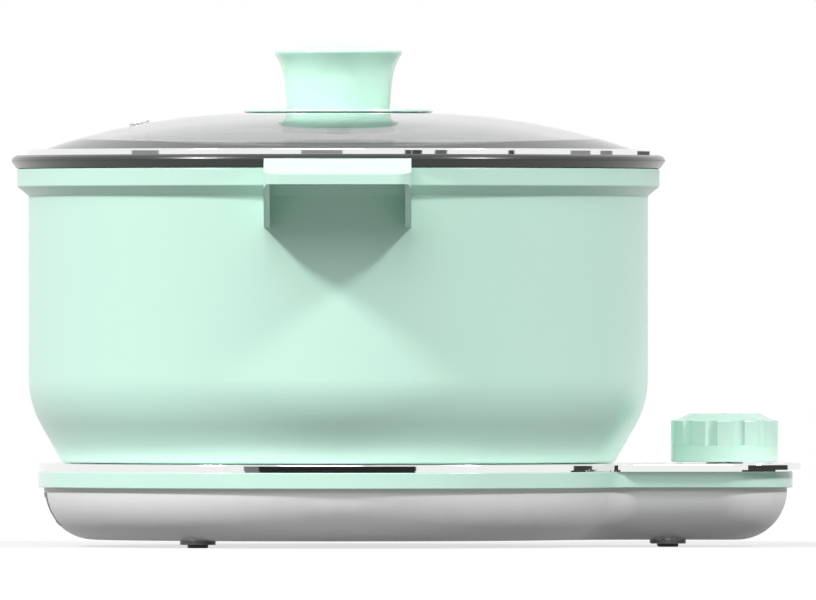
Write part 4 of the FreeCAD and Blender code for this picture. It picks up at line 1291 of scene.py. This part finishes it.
@dataclass
class Studio:
    """The camera, the lights, the floor and the white surroundings."""

    aim_x: float = 0.9
    aim_z: float = 112.9
    frame_width: float = 374.0
    lens: float = 1200.0
    sensor: float = 36.0
    floor_half: float = 4000.0
    see_to: float = 1000.0
    white_level: float = 1.01
    lamp_away: float = 2.0
    daylight: float = 0.22
    floor_shade: float = 0.20
    lights: tuple[tuple[str, float, float, float, float], ...] = (
        ("key", -60.0, 42.0, 8.0, 0.97),
        ("second", 60.0, 42.0, 8.0, 0.65),
        ("front", -8.0, 38.0, 30.0, 0.34),
    )

    def camera(self) -> None:
        """Sets the camera level with the pot, with a long lens."""
        data = bpy.data.cameras.new("view")
        data.lens = self.lens
        data.sensor_width = self.sensor
        data.clip_end = self.see_to
        away = self.frame_width * MM * self.lens / self.sensor
        camera = bpy.data.objects.new("view", data)
        camera.location = (self.aim_x * MM, -away, self.aim_z * MM)
        camera.rotation_euler = (math.pi / 2, 0.0, 0.0)
        bpy.context.scene.collection.objects.link(camera)
        bpy.context.scene.camera = camera

    def lamp(self, name: str, azimuth: float, elevation: float, spread: float,
             level: float) -> None:
        """Adds one distant soft light.

        Args:
            name: its name.
            azimuth: degrees from the camera's side, to the right.
            elevation: degrees above the table.
            spread: how wide it looks, in degrees.
            level: how light a white card that faces it is.
        """
        data = bpy.data.lights.new(name, "SUN")
        data.angle = math.radians(spread)
        data.energy = level * math.pi
        lamp = bpy.data.objects.new(name, data)
        turn, lift = math.radians(azimuth), math.radians(elevation)
        away = self.lamp_away
        lamp.location = (away * math.sin(turn), -away * math.cos(turn), away * math.tan(lift))
        lamp.rotation_euler = (math.pi / 2 - lift, 0.0, turn)
        bpy.context.scene.collection.objects.link(lamp)

    def world(self) -> None:
        """Makes surroundings that are white to look at and softer as light."""
        world = bpy.data.worlds.new("surroundings")
        bpy.context.scene.world = world
        world.use_nodes = True
        shader = Shader(world.node_tree)
        seen = self.seen(shader)
        plain = shader.out(
            "ShaderNodeBackground", {}, {"Strength": self.daylight, "Color": WHITE}
        )
        white = shader.out("ShaderNodeBackground", {}, {"Strength": 1.0, "Color": WHITE})
        surface = shader.out("ShaderNodeMixShader", {}, {0: seen, 1: plain, 2: white})
        shader.finish("ShaderNodeOutputWorld", surface)

    @staticmethod
    def seen(shader: Shader) -> Value:
        """Tells the rays of the camera, of mirrors and of glass from the others.

        Args:
            shader: the nodes that it is added to.

        Returns:
            1 for those rays, otherwise 0.
        """
        path = shader.node("ShaderNodeLightPath", {}, {})
        camera, gloss, clear = (
            Value(shader, path.outputs[name])
            for name in ("Is Camera Ray", "Is Glossy Ray", "Is Transmission Ray")
        )
        return 1.0 - (1.0 - camera) * (1.0 - gloss) * (1.0 - clear)

    @staticmethod
    def sheet(name: str, corners: list[Corner]) -> Piece:
        """Puts a flat sheet of four corners in the scene.

        Args:
            name: its name.
            corners: its corners, in millimetres.

        Returns:
            The sheet.
        """
        mesh = bpy.data.meshes.new(name)
        spots = [tuple(part * MM for part in corner) for corner in corners]
        mesh.from_pydata(spots, [], [(0, 1, 2, 3)])
        sheet = bpy.data.objects.new(name, mesh)
        bpy.context.scene.collection.objects.link(sheet)
        return sheet

    def floor(self) -> Piece:
        """Lays a white floor that keeps the object's shadow.

        Returns:
            The floor.
        """
        half = self.floor_half
        corners = [(-half, -half, 0.0), (half, -half, 0.0), (half, half, 0.0), (-half, half, 0.0)]
        floor = self.sheet("floor", corners)
        material, shader = new_material("floor_white")
        shade = self.floor_shade
        fall = self.daylight + sum(
            level * math.sin(math.radians(lift)) for _, _, lift, _, level in self.lights
        )
        diffuse = shader.out("ShaderNodeBsdfDiffuse", {}, {"Color": (shade, shade, shade, 1.0)})
        glow = shader.out("ShaderNodeEmission", {}, {"Strength": self.white_level - shade * fall})
        both = shader.out("ShaderNodeAddShader", {}, {0: diffuse, 1: glow})
        surface = shader.out(
            "ShaderNodeMixShader", {}, {0: self.seen(shader), 1: diffuse, 2: both}
        )
        shader.finish("ShaderNodeOutputMaterial", surface)
        floor.data.materials.append(material)
        return floor

    def card(self, name: str, start: Spot, end: Spot, low: float, high: float,
             shade: float) -> Piece:
        """Stands a dark card where only mirrors see it.

        Args:
            name: its name.
            start: one end of its foot.
            end: the other end.
            low: its lower edge.
            high: its upper edge.
            shade: how light it is.

        Returns:
            The card.
        """
        card = self.sheet(name, [(*start, low), (*end, low), (*end, high), (*start, high)])
        material, shader = new_material(name)
        glow = shader.out("ShaderNodeEmission", {}, {"Color": (shade, shade, shade, 1.0)})
        shader.finish("ShaderNodeOutputMaterial", glow)
        card.data.materials.append(material)
        card.visible_camera = False
        card.visible_diffuse = False
        card.visible_shadow = False
        card.visible_transmission = False
        return card

    def cards(self, pot_x: float) -> None:
        """Stands the dark cards that the mirror-bright steel shows.

        Args:
            pot_x: where the pot's axis stands.
        """
        flags = [
            Flag(-94.1, -81.7, 0.28),
            Flag(-16.7, 2.1, 0.30),
            Flag(30.5, 33.5, 0.05),
            Flag(33.7, 38.3, 0.02),
            Flag(44.2, 49.7, 0.10),
            Flag(77.7, 80.4, 0.03),
            Flag(106.1, 115.2, 0.28),
            Flag(119.8, 125.3, 0.25),
            Flag(136.8, 142.6, 0.12),
            Flag(-42.8, -36.0, 0.20, 137.7, 31.0, 40.0, 240.0),
            Flag(-36.0, 35.6, 0.02, 137.7, 31.0, 40.0, 240.0),
        ]
        for number, flag in enumerate(flags, start=1):
            start, end = flag.ends(pot_x)
            self.card("flag_%d" % number, start, end, flag.low, flag.high, flag.shade)
        self.card("flag_corner", (166.0, -66.0), (197.0, -30.0), 31.0, 40.0, 0.05)

    def build(self, pot_x: float) -> None:
        """Sets up the camera, lamps, floor and cards.

        Args:
            pot_x: where the pot's axis stands.
        """
        self.camera()
        self.world()
        self.floor()
        self.cards(pot_x)
        for light in self.lights:
            self.lamp(*light)


def dress_nodes(nodes: dict[str, Piece], record: dict, wardrobe: Wardrobe) -> None:
    """Gives every node of the frame the finish of its slot.

    Args:
        nodes: the frame's nodes.
        record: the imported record.
        wardrobe: the finishes.
    """
    for part in record["subparts"]:
        wardrobe.dress(nodes[part["node"]], part["material_slot"])


def main() -> None:
    """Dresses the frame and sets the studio."""
    logging.basicConfig(level=logging.INFO, format="%(name)s: %(message)s")
    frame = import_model()
    pot_x = middle_x("inner_pan")
    wardrobe = Wardrobe(pot_x * MM)
    wardrobe.open()
    dress_nodes(frame["nodes"], frame["record"], wardrobe)
    mould = Mould(wardrobe, frame["nodes"])
    Base(mould, pot_x).build()
    Pot(mould, pot_x).build()
    Lid(mould, pot_x).build()
    Dial(mould, middle_x("control_knob")).build()
    Studio().build(pot_x)
    bpy.context.scene.view_settings.view_transform = "Standard"


if __name__ == "__main__":
    main()
